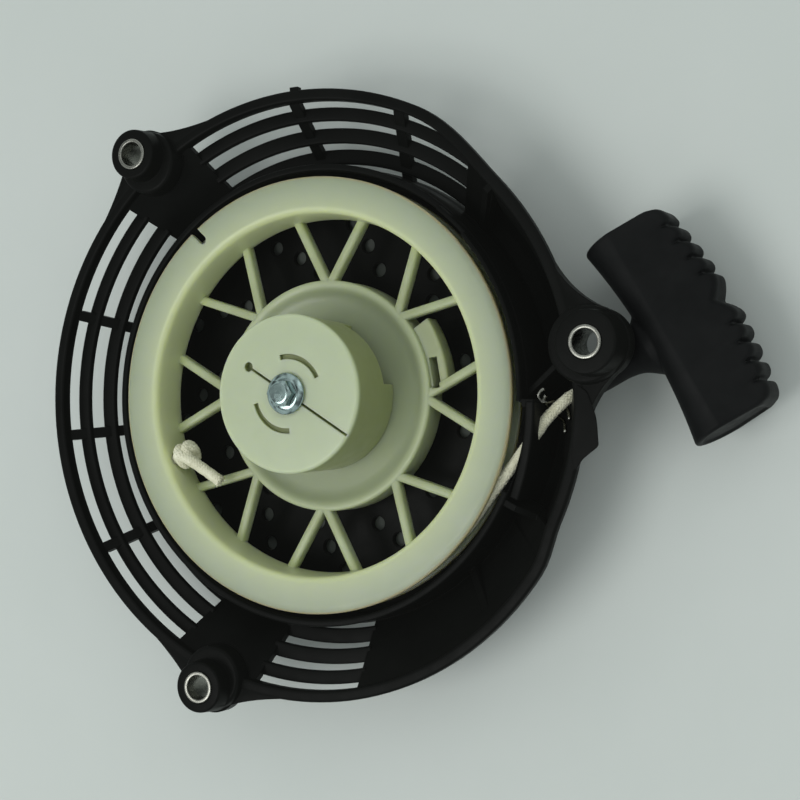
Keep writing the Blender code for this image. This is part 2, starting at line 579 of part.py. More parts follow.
def make_centre_stack(steel, zinc):
    """Washer on the post, collar through the guide, and the bolt that clamps them."""
    add_object("thrust_washer", tube(3.3, 10.5, POST_TOP_Z + GAP, POST_TOP_Z + 1.3), steel)
    add_object("guide_collar", tube(3.3, 4.6, POST_TOP_Z + 1.6, GUIDE_TOP_Z + 0.1), steel)
    flange = GUIDE_TOP_Z + 0.4
    bolt = add_object("centre_bolt", turned([(0, 24.5), (BOLT_R - 0.6, 24.5), (BOLT_R, 25.1), (BOLT_R, flange),
                                             (BOLT_FLANGE_R, flange), (BOLT_FLANGE_R, flange + 0.8),
                                             (5.0, flange + 1.6), (0, flange + 1.6)], 15), zinc)
    corner = BOLT_AF / math.sqrt(3)
    head = loft([[Vector((x, y, z)) for x, y in circle(size, 6)]
                 for z, size in ((flange + 0.5, corner), (flange + 4.8, corner), (flange + 5.3, corner - 0.6))])
    combine(bolt, "UNION", [head])


# ---------------------------------------------------------------- rope and grip

def make_rope_run(finish):
    add_object("rope_run", sweep(rope_path(), ROPE_R, 10), finish)


def toothed_edge(aside):
    """Outer side of the bar at a distance from its middle: bowed, with round teeth and a middle notch."""
    a = abs(aside)
    edge = GRIP_OUTER + GRIP_BOW * (1 - (a / GRIP_HALF) ** 1.6)
    if a < NOTCH_PEAK:
        return edge - NOTCH_DEPTH * (1 - a / NOTCH_PEAK) ** 1.5
    if a < GRIP_GAPS[0]:
        share, depth = (a - NOTCH_PEAK) / (GRIP_GAPS[0] - NOTCH_PEAK), GAP_DEPTH
    elif a > GRIP_GAPS[-1]:
        peak = GRIP_GAPS[-1] + 2.6
        reach = GRIP_HALF - peak if a > peak else peak - GRIP_GAPS[-1]
        share, depth = abs(a - peak) / reach, 2.6 if a > peak else GAP_DEPTH
    else:
        low, high = [(g, h) for g, h in zip(GRIP_GAPS, GRIP_GAPS[1:]) if g <= a <= h][0]
        share, depth = abs(a - (low + high) / 2) / ((high - low) / 2), GAP_DEPTH
    return edge - depth * (1 - math.sqrt(max(0.0, 1 - min(1.0, share) ** 3)))


def grip_section(aside, trim, count=8):
    """Cross-section of the T bar: round on the rope side up to a ridge, then tapering to the outer edge."""
    inner = GRIP_INNER + GRIP_WAIST * (1 - (aside / GRIP_HALF) ** 2) + trim
    ridge = GRIP_INNER + (GRIP_OUTER - GRIP_INNER) * GRIP_RIDGE + GRIP_WAIST * 0.5
    outer = toothed_edge(aside) - trim
    slope = (GRIP_HALF_Z - GRIP_EDGE_Z) / (GRIP_OUTER + GRIP_BOW - ridge)
    upper = [(ridge - (ridge - inner) * math.cos(t), (GRIP_HALF_Z - trim) * math.sin(t))
             for t in (math.pi / 2 * i / count for i in range(count + 1))]
    for back, drop in ((6.0, 0.0), (1.8, 0.1), (0.5, 0.9), (0.0, 2.6)):
        u = outer - back
        upper.append((u, GRIP_HALF_Z - trim - slope * (u - ridge) - drop))
    lower = [(u, -z) for u, z in reversed(upper[1:])]
    return [pull_point(u, aside, GRIP_Z + z) for u, z in upper + lower]


def make_grip(finish):
    half = [0.0, 2.0, NOTCH_PEAK - 1.0, NOTCH_PEAK]
    for gap in GRIP_GAPS:
        half += [gap - 0.9, gap - 0.25, gap + 0.25, gap + 0.9, gap + 3.1]
    half = half[:-1] + [GRIP_HALF - 3.2, GRIP_HALF - 1.4, GRIP_HALF]
    stations = [-a for a in reversed(half[1:])] + half
    rings = [grip_section(a, 1.0 if abs(a) == GRIP_HALF else 0.0) for a in stations]
    grip = add_object("grip", loft(rings), finish, pull_point(GRIP_MOUTH))
    neck_radii = [(GRIP_MOUTH, STEM_R - 0.5), (GRIP_MOUTH + 0.8, STEM_R), (17.0, STEM_R + 0.6),
                  (21.0, STEM_R + 1.4), (24.0, 7.0), (26.5, 8.8), (30.0, 11.0), (36.0, 11.2)]
    stem = sweep([pull_point(d) for d, _ in neck_radii], [r for _, r in neck_radii], 20)
    for vert in stem.verts:
        vert.co.z = GRIP_Z + (vert.co.z - GRIP_Z) * 0.85
    combine(grip, "UNION", [stem])
    bore = sweep([pull_point(GRIP_MOUTH - 2), pull_point(26.0)], ROPE_R + 0.5, 12)
    pocket = sweep([pull_point(25.0), pull_point(37.0)], 5.0, 16)
    mouth = prism([(p.x, p.y) for p in (pull_point(26.0, -5), pull_point(36.0, -5), pull_point(36.0, 5),
                                        pull_point(26.0, 5))], -5, GRIP_Z)
    combine(grip, "DIFFERENCE", [bore, pocket, mouth])


def make_grip_inside(steel, rope):
    washer = sweep([pull_point(26.4), pull_point(27.4)], 4.4, 16)
    plate = add_object("grip_washer", washer, steel, pull_point(26.4))
    combine(plate, "DIFFERENCE", [sweep([pull_point(25.0), pull_point(29.0)], ROPE_R + 0.3, 12)])
    knot = sweep([pull_point(22.4), pull_point(28.2), pull_point(28.6), pull_point(31.0), pull_point(33.6),
                  pull_point(34.2)], [1.9, 1.9, 3.6, 4.4, 3.2, 1.6], 10)
    add_object("grip_knot", knot, rope, pull_point(31.0))


def main():
    clear_scene()
    black = material("case_plastic", (0.012, 0.013, 0.013), 0.42)
    grip_black = material("grip_plastic", (0.012, 0.013, 0.013), 0.5)
    nylon = material("nylon", (0.42, 0.48, 0.32), 0.38)
    rope = material("rope", (0.60, 0.58, 0.44), 0.9)
    steel = material("steel", (0.55, 0.55, 0.53), 0.35, 1.0)
    zinc = material("zinc_plate", (0.62, 0.66, 0.68), 0.22, 1.0)
    spring = material("spring_steel", (0.25, 0.25, 0.26), 0.35, 1.0)
    brass = material("brass", (0.62, 0.47, 0.22), 0.35, 1.0)
    make_case(black)
    make_bushes(steel)
    make_post_insert(brass)
    make_rope_guide(steel)
    make_recoil_spring(spring)
    make_friction_spring(spring)
    make_reel(nylon)
    make_rope_wound(rope)
    make_reel_knot(rope)
    make_ratchet_guide(nylon)
    for letter, turn in (("a", 0), ("b", 180)):
        make_pawl(f"pawl_{letter}", turn, steel)
        make_pawl_spring(f"pawl_spring_{letter}", turn, spring)
    make_centre_stack(steel, zinc)
    make_rope_run(rope)
    make_grip(grip_black)
    make_grip_inside(steel, rope)


main()
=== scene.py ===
"""Looks of the recoil starter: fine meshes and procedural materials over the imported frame."""

import math
import random

import bmesh
import bpy
from mathutils import Matrix, Vector


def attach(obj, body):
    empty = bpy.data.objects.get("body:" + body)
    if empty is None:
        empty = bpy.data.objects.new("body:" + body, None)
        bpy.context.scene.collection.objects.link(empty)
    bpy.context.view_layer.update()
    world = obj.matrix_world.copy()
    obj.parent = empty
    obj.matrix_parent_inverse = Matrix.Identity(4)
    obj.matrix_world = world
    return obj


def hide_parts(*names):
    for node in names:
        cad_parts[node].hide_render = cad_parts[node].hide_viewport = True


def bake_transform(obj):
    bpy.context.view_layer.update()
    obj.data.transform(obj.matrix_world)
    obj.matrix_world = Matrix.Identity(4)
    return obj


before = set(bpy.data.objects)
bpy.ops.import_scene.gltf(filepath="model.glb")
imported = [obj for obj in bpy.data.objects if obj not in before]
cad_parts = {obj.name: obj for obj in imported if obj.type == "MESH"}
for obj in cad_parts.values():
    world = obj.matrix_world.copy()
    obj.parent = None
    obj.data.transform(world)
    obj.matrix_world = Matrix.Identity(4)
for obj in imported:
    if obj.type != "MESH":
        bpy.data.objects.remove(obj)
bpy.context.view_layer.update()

random.seed(7)
MM = 0.001

# Sizes in millimetres and angles in degrees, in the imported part's frame
# Case
RIM_R, RIM_INNER_R, RIM_TOP_Z = 100.8, 97.0, 35.2
FLOOR_T = 2.5
LIP_R, LIP_OUTER_R, LIP_TOP_Z = 74.6, 76.9, 28.3
GATE = (-24.5, -2.0)
GATE_R, GATE_TOP_Z, GATE_LOW_Z = 81.0, 33.0, 7.0
LIP_HIGH_END, LIP_RAMP_END = 42.0, 52.0
CONE_LOW, CONE_HIGH = (77.4, 9.8), (97.0, 30.4)
CONE_T = 2.6
# Each slat's inner radius, outer radius, lower and upper height
SLATS = [(91.3, 95.8, 25.3, 27.6), (84.8, 89.9, 19.2, 21.3), (78.6, 83.7, 12.7, 14.8)]
SLOTTED = [(51.5, 118.7), (137.7, 239.3), (258.7, 281.5)]
# Angle and width of each rib
RIBS = [(70.0, 4.0), (93.4, 3.6), (162.8, 3.6), (188.1, 3.6), (213.1, 3.6)]
CHAMBER_Z = 6.0
CHAMBER = (-26.5, 45.0)
WALL_FOOT_R, WALL_HEAD_R = 84.7, 97.6
# How far the rim is drawn in, at a list of angles
DRAW_IN_FROM_R = 95.0
DRAW_IN = [(-34.0, 0.0), (-24.0, 2.4), (-2.0, 2.4), (8.0, 4.2), (44.0, 4.2), (66.0, 0.0)]
HORN_LEAN, HORN_FOOT_Z = 11.7, 12.0
NIB_ANGLE = 92.3
LOW_PLATE_ANGLE = -47.5
# Vents: swirl arms, and the radius and angle of each hole in an arm
VENT_ARMS, VENT_HOLES = 12, [(45.0, 15.0), (52.5, 22.0), (60.0, 29.0), (67.0, 37.0)]
VENT_R = 2.5
POST_R, POST_TOP_Z = 7.5, 37.5
POST_BORE_R, INSERT_BORE_R, INSERT_LOW_Z = 3.3, 4.8, 23.7
OUTLET_R = 2.6

# Mounting ears
BOLT_CIRCLE_R, BOSS_TOP_Z = 102.8, 44.6
# Angle, boss radius and half the angle that the ear's foot spans
EARS = {"right": (8.3, 10.0, 17.0), "upper_left": (127.0, 8.6, 17.0), "lower_left": (250.8, 8.6, 17.0)}
EAR_Z = 30.6
BUSH_R, BUSH_BORE_R, BUSH_LOW_Z = 5.25, 4.0, 31.6

# Reel, guide and bolt
REEL_R, REEL_TOP_Z, REEL_LOW_Z = 72.5, 31.0, 19.5
DRUM_R, GROOVE_LOW_Z, GROOVE_HIGH_Z = 61.7, 22.0, 28.2
DRUM_INNER_R, DRUM_LOW_Z = 59.5, 16.6
HUB_R, HUB_TOP_Z, HUB_LOW_Z = 38.9, 19.8, 9.5
HUB_PLATE_Z = (14.6, 17.6)
SLEEVE_R, SLEEVE_TOP_Z = 11.0, 37.2
SPOKE_PAIRS, SPOKE_SPREAD, SPOKE_W, SPOKE_H = 8, 12.0, 3.0, 4.6
RIM_NOTCH_R, RIM_NOTCH_ANGLE, RIM_NOTCH_W = 67.8, 128.2, 3.0
PAWL_PIVOT_R, PAWL_POST_R = 19.0, 2.2
GUIDE_R, GUIDE_BASE_R, GUIDE_TOP_Z, GUIDE_LOW_Z = 26.0, 25.0, 45.3, 18.1
GUIDE_WALL, GUIDE_BORE_R = 2.0, 5.0
WINDOW_TOP_Z, WINDOW = 25.4, (8, 68)
KEYHOLE_R, KEYHOLE_PLACE_R, SLIT_ANGLE, SLIT_W = 1.6, 17.0, 148.5, 0.9
ARC_INNER_R, ARC_OUTER_R, ARC_DEPTH, ARCS = 11.2, 12.9, 1.5, ((25, 103), (195, 275))
BOLT_R, BOLT_AF, BOLT_FLANGE_R, BOLT_HEAD_H = 3.0, 8.0, 6.8, 5.3

# Rope and grip
ROPE_R, ROPE_Z = 1.9, 25.0
COIL_RADII = (66.2, 63.9)
WIRE_R = 0.6
KNOT_R, KNOT_ANGLE, KNOT_TURN_R, KNOT_ROPE_R = 55.1, 201.5, 2.9, 1.75
KNOT_TAIL = (-38.0, -29.4, 24.6)
TANGENT_R, ROPE_ANGLE = 69.6, 52.0
PULL_ORIGIN, PULL_ANGLE, GRIP_Z = (90.0, 0.0), 31.0, 20.0
GRIP_INNER, GRIP_OUTER = 25.0, 53.6
GRIP_HALF, GRIP_RIDGE = 34.5, 0.36
GRIP_WAIST, GRIP_BOW = 3.4, 4.2
GRIP_HALF_Z, GRIP_EDGE_Z = 12.0, 6.6
GRIP_GAPS, GAP_DEPTH = [8.9, 15.0, 21.2, 27.4], 3.5
END_TOOTH_HALF, END_TOOTH_DROP = 2.6, 2.6
NOTCH_PEAK, NOTCH_DEPTH = 6.2, 4.2
GRIP_MOUTH, STEM_R = 4.6, 4.4
GRIP_VOXEL = 0.45


# ---- shapes, in millimetres

def polar(radius, degrees, z=0.0):
    a = math.radians(degrees)
    return Vector((radius * math.cos(a), radius * math.sin(a), z))


def rounded(outline, radius, segments=4):
    """Rounds the corners of a closed 2-D outline; radius is one number or one per corner."""
    count = len(outline)
    made = []
    for i, corner in enumerate(outline):
        size = radius[i] if isinstance(radius, (list, tuple)) else radius
        here = Vector(corner)
        before, after = Vector(outline[i - 1]) - here, Vector(outline[(i + 1) % count]) - here
        if size <= 0:
            made.append(tuple(here))
            continue
        reach = min(size, before.length * 0.49, after.length * 0.49)
        start, end = here + before.normalized() * reach, here + after.normalized() * reach
        for k in range(segments + 1):
            t = k / segments
            p = start * (1 - t) ** 2 + here * 2 * t * (1 - t) + end * t * t
            made.append(tuple(p))
    return made


def loft(rings, closed=False):
    """Skin over rings of equal length, either closed on itself or with both ends capped."""
    bm = bmesh.new()
    loops = [[bm.verts.new(p) for p in ring] for ring in rings]
    count = len(loops[0])
    pairs = list(zip(loops, loops[1:] + loops[:1])) if closed else list(zip(loops, loops[1:]))
    for low, high in pairs:
        for i in range(count):
            j = (i + 1) % count
            bm.faces.new((low[i], low[j], high[j], high[i]))
    if not closed:
        bm.faces.new(list(reversed(loops[0])))
        bm.faces.new(loops[-1])
    return bm


def revolve(profile, start=0.0, end=360.0, step=2.0):
    """Turns an outline of radius and height about the z axis."""
    full = end - start >= 360.0
    count = max(2, round((end - start) / step))
    angles = [start + (end - start) * i / count for i in range(count + (0 if full else 1))]
    return loft([[polar(r, a, z) for r, z in profile] for a in angles], closed=full)


def turned(profile, step=2.0):
    """As revolve, for an outline whose first and last points lie on the axis."""
    bm = bmesh.new()
    count = round(360 / step)
    ends = [bm.verts.new((0, 0, profile[0][1])), bm.verts.new((0, 0, profile[-1][1]))]
    loops = [[bm.verts.new(polar(r, 360 * i / count, z)) for i in range(count)] for r, z in profile[1:-1]]
    for low, high in zip(loops, loops[1:]):
        for i in range(count):
            j = (i + 1) % count
            bm.faces.new((low[i], low[j], high[j], high[i]))
    for i in range(count):
        j = (i + 1) % count
        bm.faces.new((ends[0], loops[0][j], loops[0][i]))
        bm.faces.new((ends[1], loops[-1][i], loops[-1][j]))
    return bm


def turned_round(profile, radius, step=2.0):
    """turned, with the outline's corners rounded except at the axis."""
    radii = [0] + [radius] * (len(profile) - 2) + [0]
    return turned(rounded(profile, radii), step)


def prism(outline, low, high):
    return loft([[Vector((x, y, low)) for x, y in outline], [Vector((x, y, high)) for x, y in outline]])


def circle(radius, count, centre=(0, 0)):
    return [(centre[0] + radius * math.cos(2 * math.pi * i / count),
             centre[1] + radius * math.sin(2 * math.pi * i / count)) for i in range(count)]


def drum(radius, low, high, centre=(0, 0), count=48):
    return prism(circle(radius, count, centre), low, high)


def moved(bm, x, y, z=0.0):
    bm.transform(Matrix.Translation((x, y, z)))
    return bm


def bar(start, end, width, height, radius=0.0):
    """A bar between two points, its width level, with rounded edges where radius is given."""
    start, end = Vector(start), Vector(end)
    along = (end - start).normalized()
    side = along.cross(Vector((0, 0, 1))).normalized()
    up = side.cross(along).normalized()
    half_w, half_h = width / 2, height / 2
    section = rounded([(half_w, half_h), (-half_w, half_h), (-half_w, -half_h), (half_w, -half_h)], radius)
    return loft([[end + side * a + up * b for a, b in section] for end in (start, end)])


def frames(points, closed=False):
    """Point, normal and binormal along a path, without twisting."""
    points = [Vector(p) for p in points]
    count = len(points)
    made = []
    normal = None
    for i, point in enumerate(points):
        before = points[i - 1] if i or closed else point
        after = points[(i + 1) % count] if i < count - 1 or closed else point
        along = (after - before).normalized()
        if normal is None:
            normal = along.orthogonal().normalized()
        normal = (normal - along * normal.dot(along)).normalized()
        made.append((point, normal.copy(), along.cross(normal)))
    return made


def sweep(points, radius, sides=16, closed=False):
    """A round rod along a path; radius is one number or one per point."""
    rings = []
    for i, (point, normal, across) in enumerate(frames(points, closed)):
        size = radius[i] if isinstance(radius, (list, tuple)) else radius
        rings.append([point + (normal * math.cos(t) + across * math.sin(t)) * size
                      for t in (2 * math.pi * k / sides for k in range(sides))])
    return loft(rings, closed=closed)


def smooth_path(points, step=0.4):
    """Catmull-Rom curve through points, cut into even steps."""
    points = [Vector(p) for p in points]
    knots = [points[0] * 2 - points[1], *points, points[-1] * 2 - points[-2]]
    dense = []
    for p0, p1, p2, p3 in zip(knots, knots[1:], knots[2:], knots[3:]):
        for k in range(24):
            t = k / 24
            dense.append(0.5 * (p1 * 2 + (p2 - p0) * t + (p0 * 2 - p1 * 5 + p2 * 4 - p3) * t * t
                                + (p1 * 3 - p0 - p2 * 3 + p3) * t ** 3))
    dense.append(points[-1])
    made, since = [dense[0]], 0.0
    for a, b in zip(dense, dense[1:]):
        since += (b - a).length
        if since >= step:
            made.append(b)
            since = 0.0
    if (made[-1] - dense[-1]).length > step * 0.3:
        made.append(dense[-1])
    return made


# ---- objects

def to_mesh(name, bm, weld=1e-4):
    if weld:
        bmesh.ops.remove_doubles(bm, verts=bm.verts, dist=weld)
        bmesh.ops.recalc_face_normals(bm, faces=bm.faces)
    mesh = bpy.data.meshes.new(name)
    bm.to_mesh(mesh)
    bm.free()
    return mesh


def make_object(name, bm, weld=1e-4):
    obj = bpy.data.objects.new(name, to_mesh(name, bm, weld))
    bpy.context.scene.collection.objects.link(obj)
    return obj


def join(shapes):
    """Puts several closed shapes into one bmesh as separate shells."""
    whole = bmesh.new()
    for bm in shapes:
        bmesh.ops.recalc_face_normals(bm, faces=bm.faces)
        part = bpy.data.meshes.new("part")
        bm.to_mesh(part)
        bm.free()
        whole.from_mesh(part)
        bpy.data.meshes.remove(part)
    return whole


def combine(obj, operation, shapes):
    """Joins shapes to obj, or cuts them out of it, and keeps the result as its mesh."""
    folder = bpy.data.collections.new("operands")
    bpy.context.scene.collection.children.link(folder)
    tools = []
    for i, bm in enumerate(shapes):
        tool = bpy.data.objects.new(f"tool_{i}", to_mesh(f"tool_{i}", bm))
        folder.objects.link(tool)
        tools.append(tool)
    modifier = obj.modifiers.new("cut", "BOOLEAN")
    modifier.operation, modifier.solver = operation, "EXACT"
    modifier.operand_type, modifier.collection = "COLLECTION", folder
    bake(obj)
    for tool in tools:
        mesh = tool.data
        bpy.data.objects.remove(tool)
        bpy.data.meshes.remove(mesh)
    bpy.data.collections.remove(folder)


def bake(obj):
    """Applies obj's modifiers."""
    graph = bpy.context.evaluated_depsgraph_get()
    mesh = bpy.data.meshes.new_from_object(obj.evaluated_get(graph))
    obj.modifiers.clear()
    old, obj.data = obj.data, mesh
    bpy.data.meshes.remove(old)


def finish_piece(obj, finish, body, nodes, sharp=38.0):
    """Scales obj to metres, gives it its material and its body, and hides the imported nodes that it stands
    for.
    """
    obj.data.transform(Matrix.Scale(MM, 4))
    obj.data.shade_smooth()
    if sharp:
        obj.data.set_sharp_from_angle(angle=math.radians(sharp))
    obj.data.materials.clear()
    obj.data.materials.append(finish)
    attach(obj, body)
    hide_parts(*nodes)


# ---- materials

class Tree:
    """Small helper that adds linked shader nodes."""

    def __init__(self, name):
        self.material = bpy.data.materials.new(name)
        self.material.use_nodes = True
        self.tree = self.material.node_tree
        self.shader = self.tree.nodes["Principled BSDF"]
        self.place = self.add("ShaderNodeTexCoord").outputs["Object"]

    def add(self, kind, **values):
        node = self.tree.nodes.new(kind)
        for key, value in values.items():
            setattr(node, key, value)
        return node

    def link(self, a, b):
        self.tree.links.new(a, b)

    def height(self):
        node = self.add("ShaderNodeSeparateXYZ")
        self.link(self.place, node.inputs["Vector"])
        return node.outputs["Z"]

    def radius(self):
        flat = self.add("ShaderNodeVectorMath", operation="MULTIPLY")
        flat.inputs[1].default_value = (1.0, 1.0, 0.0)
        self.link(self.place, flat.inputs[0])
        away = self.add("ShaderNodeVectorMath", operation="LENGTH")
        self.link(flat.outputs["Vector"], away.inputs[0])
        return away.outputs["Value"]

    def noise(self, scale, detail=3.0, roughness=0.5, vector=None):
        node = self.add("ShaderNodeTexNoise")
        node.inputs["Scale"].default_value = scale
        node.inputs["Detail"].default_value = detail
        node.inputs["Roughness"].default_value = roughness
        self.link(vector or self.place, node.inputs["Vector"])
        return node.outputs["Fac"]

    def stretch(self, value, low, high, from_low=0.3, from_high=0.7):
        node = self.add("ShaderNodeMapRange")
        node.inputs["From Min"].default_value, node.inputs["From Max"].default_value = from_low, from_high
        node.inputs["To Min"].default_value, node.inputs["To Max"].default_value = low, high
        self.link(value, node.inputs["Value"])
        return node.outputs["Result"]

    def mix(self, factor, a, b):
        node = self.add("ShaderNodeMix", data_type="RGBA")
        self.link(factor, node.inputs["Factor"])
        for socket, value in ((node.inputs[6], a), (node.inputs[7], b)):
            if isinstance(value, tuple):
                socket.default_value = (*value, 1.0)
            else:
                self.link(value, socket)
        return node.outputs[2]

    def rounded_normal(self, radius):
        node = self.add("ShaderNodeBevel")
        node.samples = 6
        node.inputs["Radius"].default_value = radius * MM
        return node.outputs["Normal"]

    def bump(self, height, strength, depth, normal=None):
        node = self.add("ShaderNodeBump")
        node.inputs["Strength"].default_value = strength
        node.inputs["Distance"].default_value = depth * MM
        self.link(height, node.inputs["Height"])
        if normal:
            self.link(normal, node.inputs["Normal"])
        return node.outputs["Normal"]

    def set(self, name, value):
        socket = self.shader.inputs[name]
        if isinstance(value, (int, float)):
            socket.default_value = value
        elif isinstance(value, tuple):
            socket.default_value = (*value, 1.0)
        else:
            self.link(value, socket)


def plastic(name, dark, light, roughness, grain, depth, edge, specular, painted_glow):
    """Moulded plastic: mottled colour, uneven gloss, a fine grain, and a faint even painted glow (emission)
    that lifts its shadows.
    """
    t = Tree(name)
    t.set("Base Color", t.mix(t.stretch(t.noise(32.0, 5.0, 0.6), 0.0, 1.0), dark, light))
    # Emission: a faint painted glow that lifts the plastic's shadows; the plastic is no lamp.
    t.set("Emission Color", painted_glow)
    t.set("Emission Strength", 1.0)
    t.set("Roughness", t.stretch(t.noise(180.0, 4.0, 0.65), roughness - 0.06, roughness + 0.08))
    t.set("Specular IOR Level", specular)
    t.set("Normal", t.bump(t.noise(grain, 2.0), 0.35, depth, t.rounded_normal(edge)))
    return t.material


def nylon(name, edge):
    """Waxy translucent nylon without its base colour, which shade_reel and shade_guide add."""
    t = Tree(name)
    t.set("Roughness", t.stretch(t.noise(220.0, 3.0), 0.30, 0.42))
    t.set("Specular IOR Level", 0.42)
    t.set("Subsurface Weight", 0.85)
    t.shader.inputs["Subsurface Radius"].default_value = (1.0, 1.0, 0.5)
    t.set("Subsurface Scale", 0.0055)
    t.set("Normal", t.bump(t.noise(900.0, 3.0), 0.12, 0.05, t.rounded_normal(edge)))
    return t


def shade_reel(painted_tones):
    """Reel nylon, its tone set by radius with painted light and shade: the dish and the spokes' roots darker
    as painted shade, the drum's inner wall lighter as painted light through the thin nylon, and the rim
    darker towards a warm brown line at its edge.
    """
    t = nylon("reel_nylon_fine", 0.9)
    ramp = t.add("ShaderNodeValToRGB")
    share = t.stretch(t.radius(), 0.0, 1.0, 0.0, TONE_SPAN * MM)
    t.link(share, ramp.inputs["Fac"])
    stops = ramp.color_ramp.elements
    while len(stops) < len(painted_tones):
        stops.new(0.5)
    for stop, (radius, colour) in zip(stops, painted_tones):
        stop.position = radius / TONE_SPAN
        stop.color = (*colour, 1.0)
    cloud = t.stretch(t.noise(38.0, 4.0, 0.6), 0.0, 0.10)
    t.set("Base Color", t.mix(cloud, ramp.outputs["Color"], CLOUD_TONE))
    return t.material


def shade_guide(top, side, groove_shade):
    """Guide nylon: pale on its flat top, with painted shade making it olive down its side and deep olive
    inside the cuts.
    """
    t = nylon("guide_nylon_fine", 0.6)
    height = t.height()
    inside = t.stretch(t.radius(), 1.0, 0.0, (GUIDE_BASE_R - 1.6) * MM, (GUIDE_BASE_R - 1.2) * MM)
    # Painted shade: the side below the top edge, and the floors of the cuts, take darker olive colours.
    side_shade_mask = t.stretch(height, 1.0, 0.0, (GUIDE_TOP_Z - 2.4) * MM, (GUIDE_TOP_Z - 0.5) * MM)
    cut = t.stretch(height, 1.0, 0.0, (GUIDE_TOP_Z - 0.9) * MM, (GUIDE_TOP_Z - 0.15) * MM)
    cloud = t.stretch(t.noise(38.0, 4.0, 0.6), 0.0, 0.12)
    base = t.mix(cloud, top, CLOUD_TONE)
    outside = t.mix(side_shade_mask, base, side)
    within = t.mix(cut, base, groove_shade)
    t.set("Base Color", t.mix(inside, outside, within))
    return t.material


def metal(name, dark, light, roughness, grain, strength, stretch_z=1.0):
    """Metal with fine machining marks and cloudy plating."""
    t = Tree(name)
    scaled = t.add("ShaderNodeMapping")
    scaled.inputs["Scale"].default_value = (1.0, 1.0, stretch_z)
    t.link(t.place, scaled.inputs["Vector"])
    t.set("Base Color", t.mix(t.stretch(t.noise(300.0, 4.0, 0.6), 0.0, 1.0), dark, light))
    t.set("Metallic", 1.0)
    t.set("Roughness", t.stretch(t.noise(700.0, 4.0, 0.6), roughness - 0.08, roughness + 0.10))
    marks = t.noise(grain, 3.0, 0.6, scaled.outputs["Vector"])
    t.set("Normal", t.bump(marks, strength, 0.03, t.rounded_normal(0.25)))
    return t.material


def cord(name, pale, worn):
    """Cream polyester cord with fine fibres and slightly soiled patches."""
    t = Tree(name)
    soil = t.stretch(t.noise(260.0, 5.0, 0.7), 0.0, 1.0, 0.35, 0.75)
    t.set("Base Color", t.mix(soil, pale, worn))
    t.set("Roughness", t.stretch(t.noise(500.0, 3.0), 0.72, 0.92))
    t.set("Specular IOR Level", 0.2)
    t.set("Sheen Weight", 0.25)
    t.set("Normal", t.bump(t.noise(6000.0, 2.0), 0.5, 0.08))
    return t.material


PAINTED_SHADE_DISC = (0.070, 0.074)


def floor_finish():
    """Pale sheet with painted shade: a dark disc where the case hides it, so that little light comes up
    through the vents.
    """
    t = Tree("floor_finish")
    away = t.add("ShaderNodeVectorMath", operation="LENGTH")
    t.link(t.place, away.inputs[0])
    painted_shade = t.stretch(away.outputs["Value"], 1.0, 0.0, *PAINTED_SHADE_DISC)
    pale = t.mix(t.stretch(t.noise(9.0, 5.0, 0.6), 0.0, 1.0), (0.575, 0.615, 0.590), (0.600, 0.635, 0.612))
    # Painted shade: the floor inside the disc under the case is coloured dark grey.
    t.set("Base Color", t.mix(painted_shade, pale, (0.09, 0.10, 0.09)))
    t.set("Roughness", t.stretch(t.noise(40.0, 3.0), 0.62, 0.74))
    t.set("Specular IOR Level", 0.25)
    t.set("Normal", t.bump(t.noise(1500.0, 2.0), 0.05, 0.05))
    return t.material


TONE_SPAN = 80.0
CLOUD_TONE = (0.42, 0.44, 0.27)
# Painted shade: the deep dish under the guide and the spokes near the hub are darker than the nylon.
DISH_SHADE_TONES = [(0.0, (0.33, 0.375, 0.24)), (35.0, (0.33, 0.375, 0.24)), (37.6, (0.42, 0.47, 0.31))]
SPOKE_SHADE_TONES = [(41.5, (0.37, 0.41, 0.25)), (46.0, (0.38, 0.42, 0.26)), (49.0, (0.42, 0.47, 0.30)),
               (55.0, (0.43, 0.48, 0.31))]
# Painted light: the drum's inner wall is lighter, as light glowing through the thin nylon; the rim then
# darkens towards its outer edge and ends in a warm brown line.
RIM_LIGHT_AND_SHADE_TONES = [(59.2, (0.50, 0.56, 0.30)), (60.2, (0.68, 0.74, 0.43)), (62.6, (0.475, 0.525, 0.345)),
             (67.4, (0.395, 0.443, 0.315)), (71.6, (0.315, 0.358, 0.258)), (72.1, (0.36, 0.32, 0.19))]

CASE_BLACK = plastic("case_plastic_fine", dark=(0.0022, 0.0025, 0.0023), light=(0.0050, 0.0054, 0.0050),
                     roughness=0.35, grain=2600.0, depth=0.03, edge=0.5, specular=0.034,
                     painted_glow=(0.0030, 0.0032, 0.0029))
GRIP_BLACK = plastic("grip_plastic_fine", dark=(0.0020, 0.0024, 0.0024), light=(0.0085, 0.0090, 0.0090),
                     roughness=0.50, grain=3600.0, depth=0.05, edge=0.5, specular=0.075,
                     painted_glow=(0.0018, 0.0019, 0.0019))
REEL_NYLON = shade_reel(DISH_SHADE_TONES + SPOKE_SHADE_TONES + RIM_LIGHT_AND_SHADE_TONES)
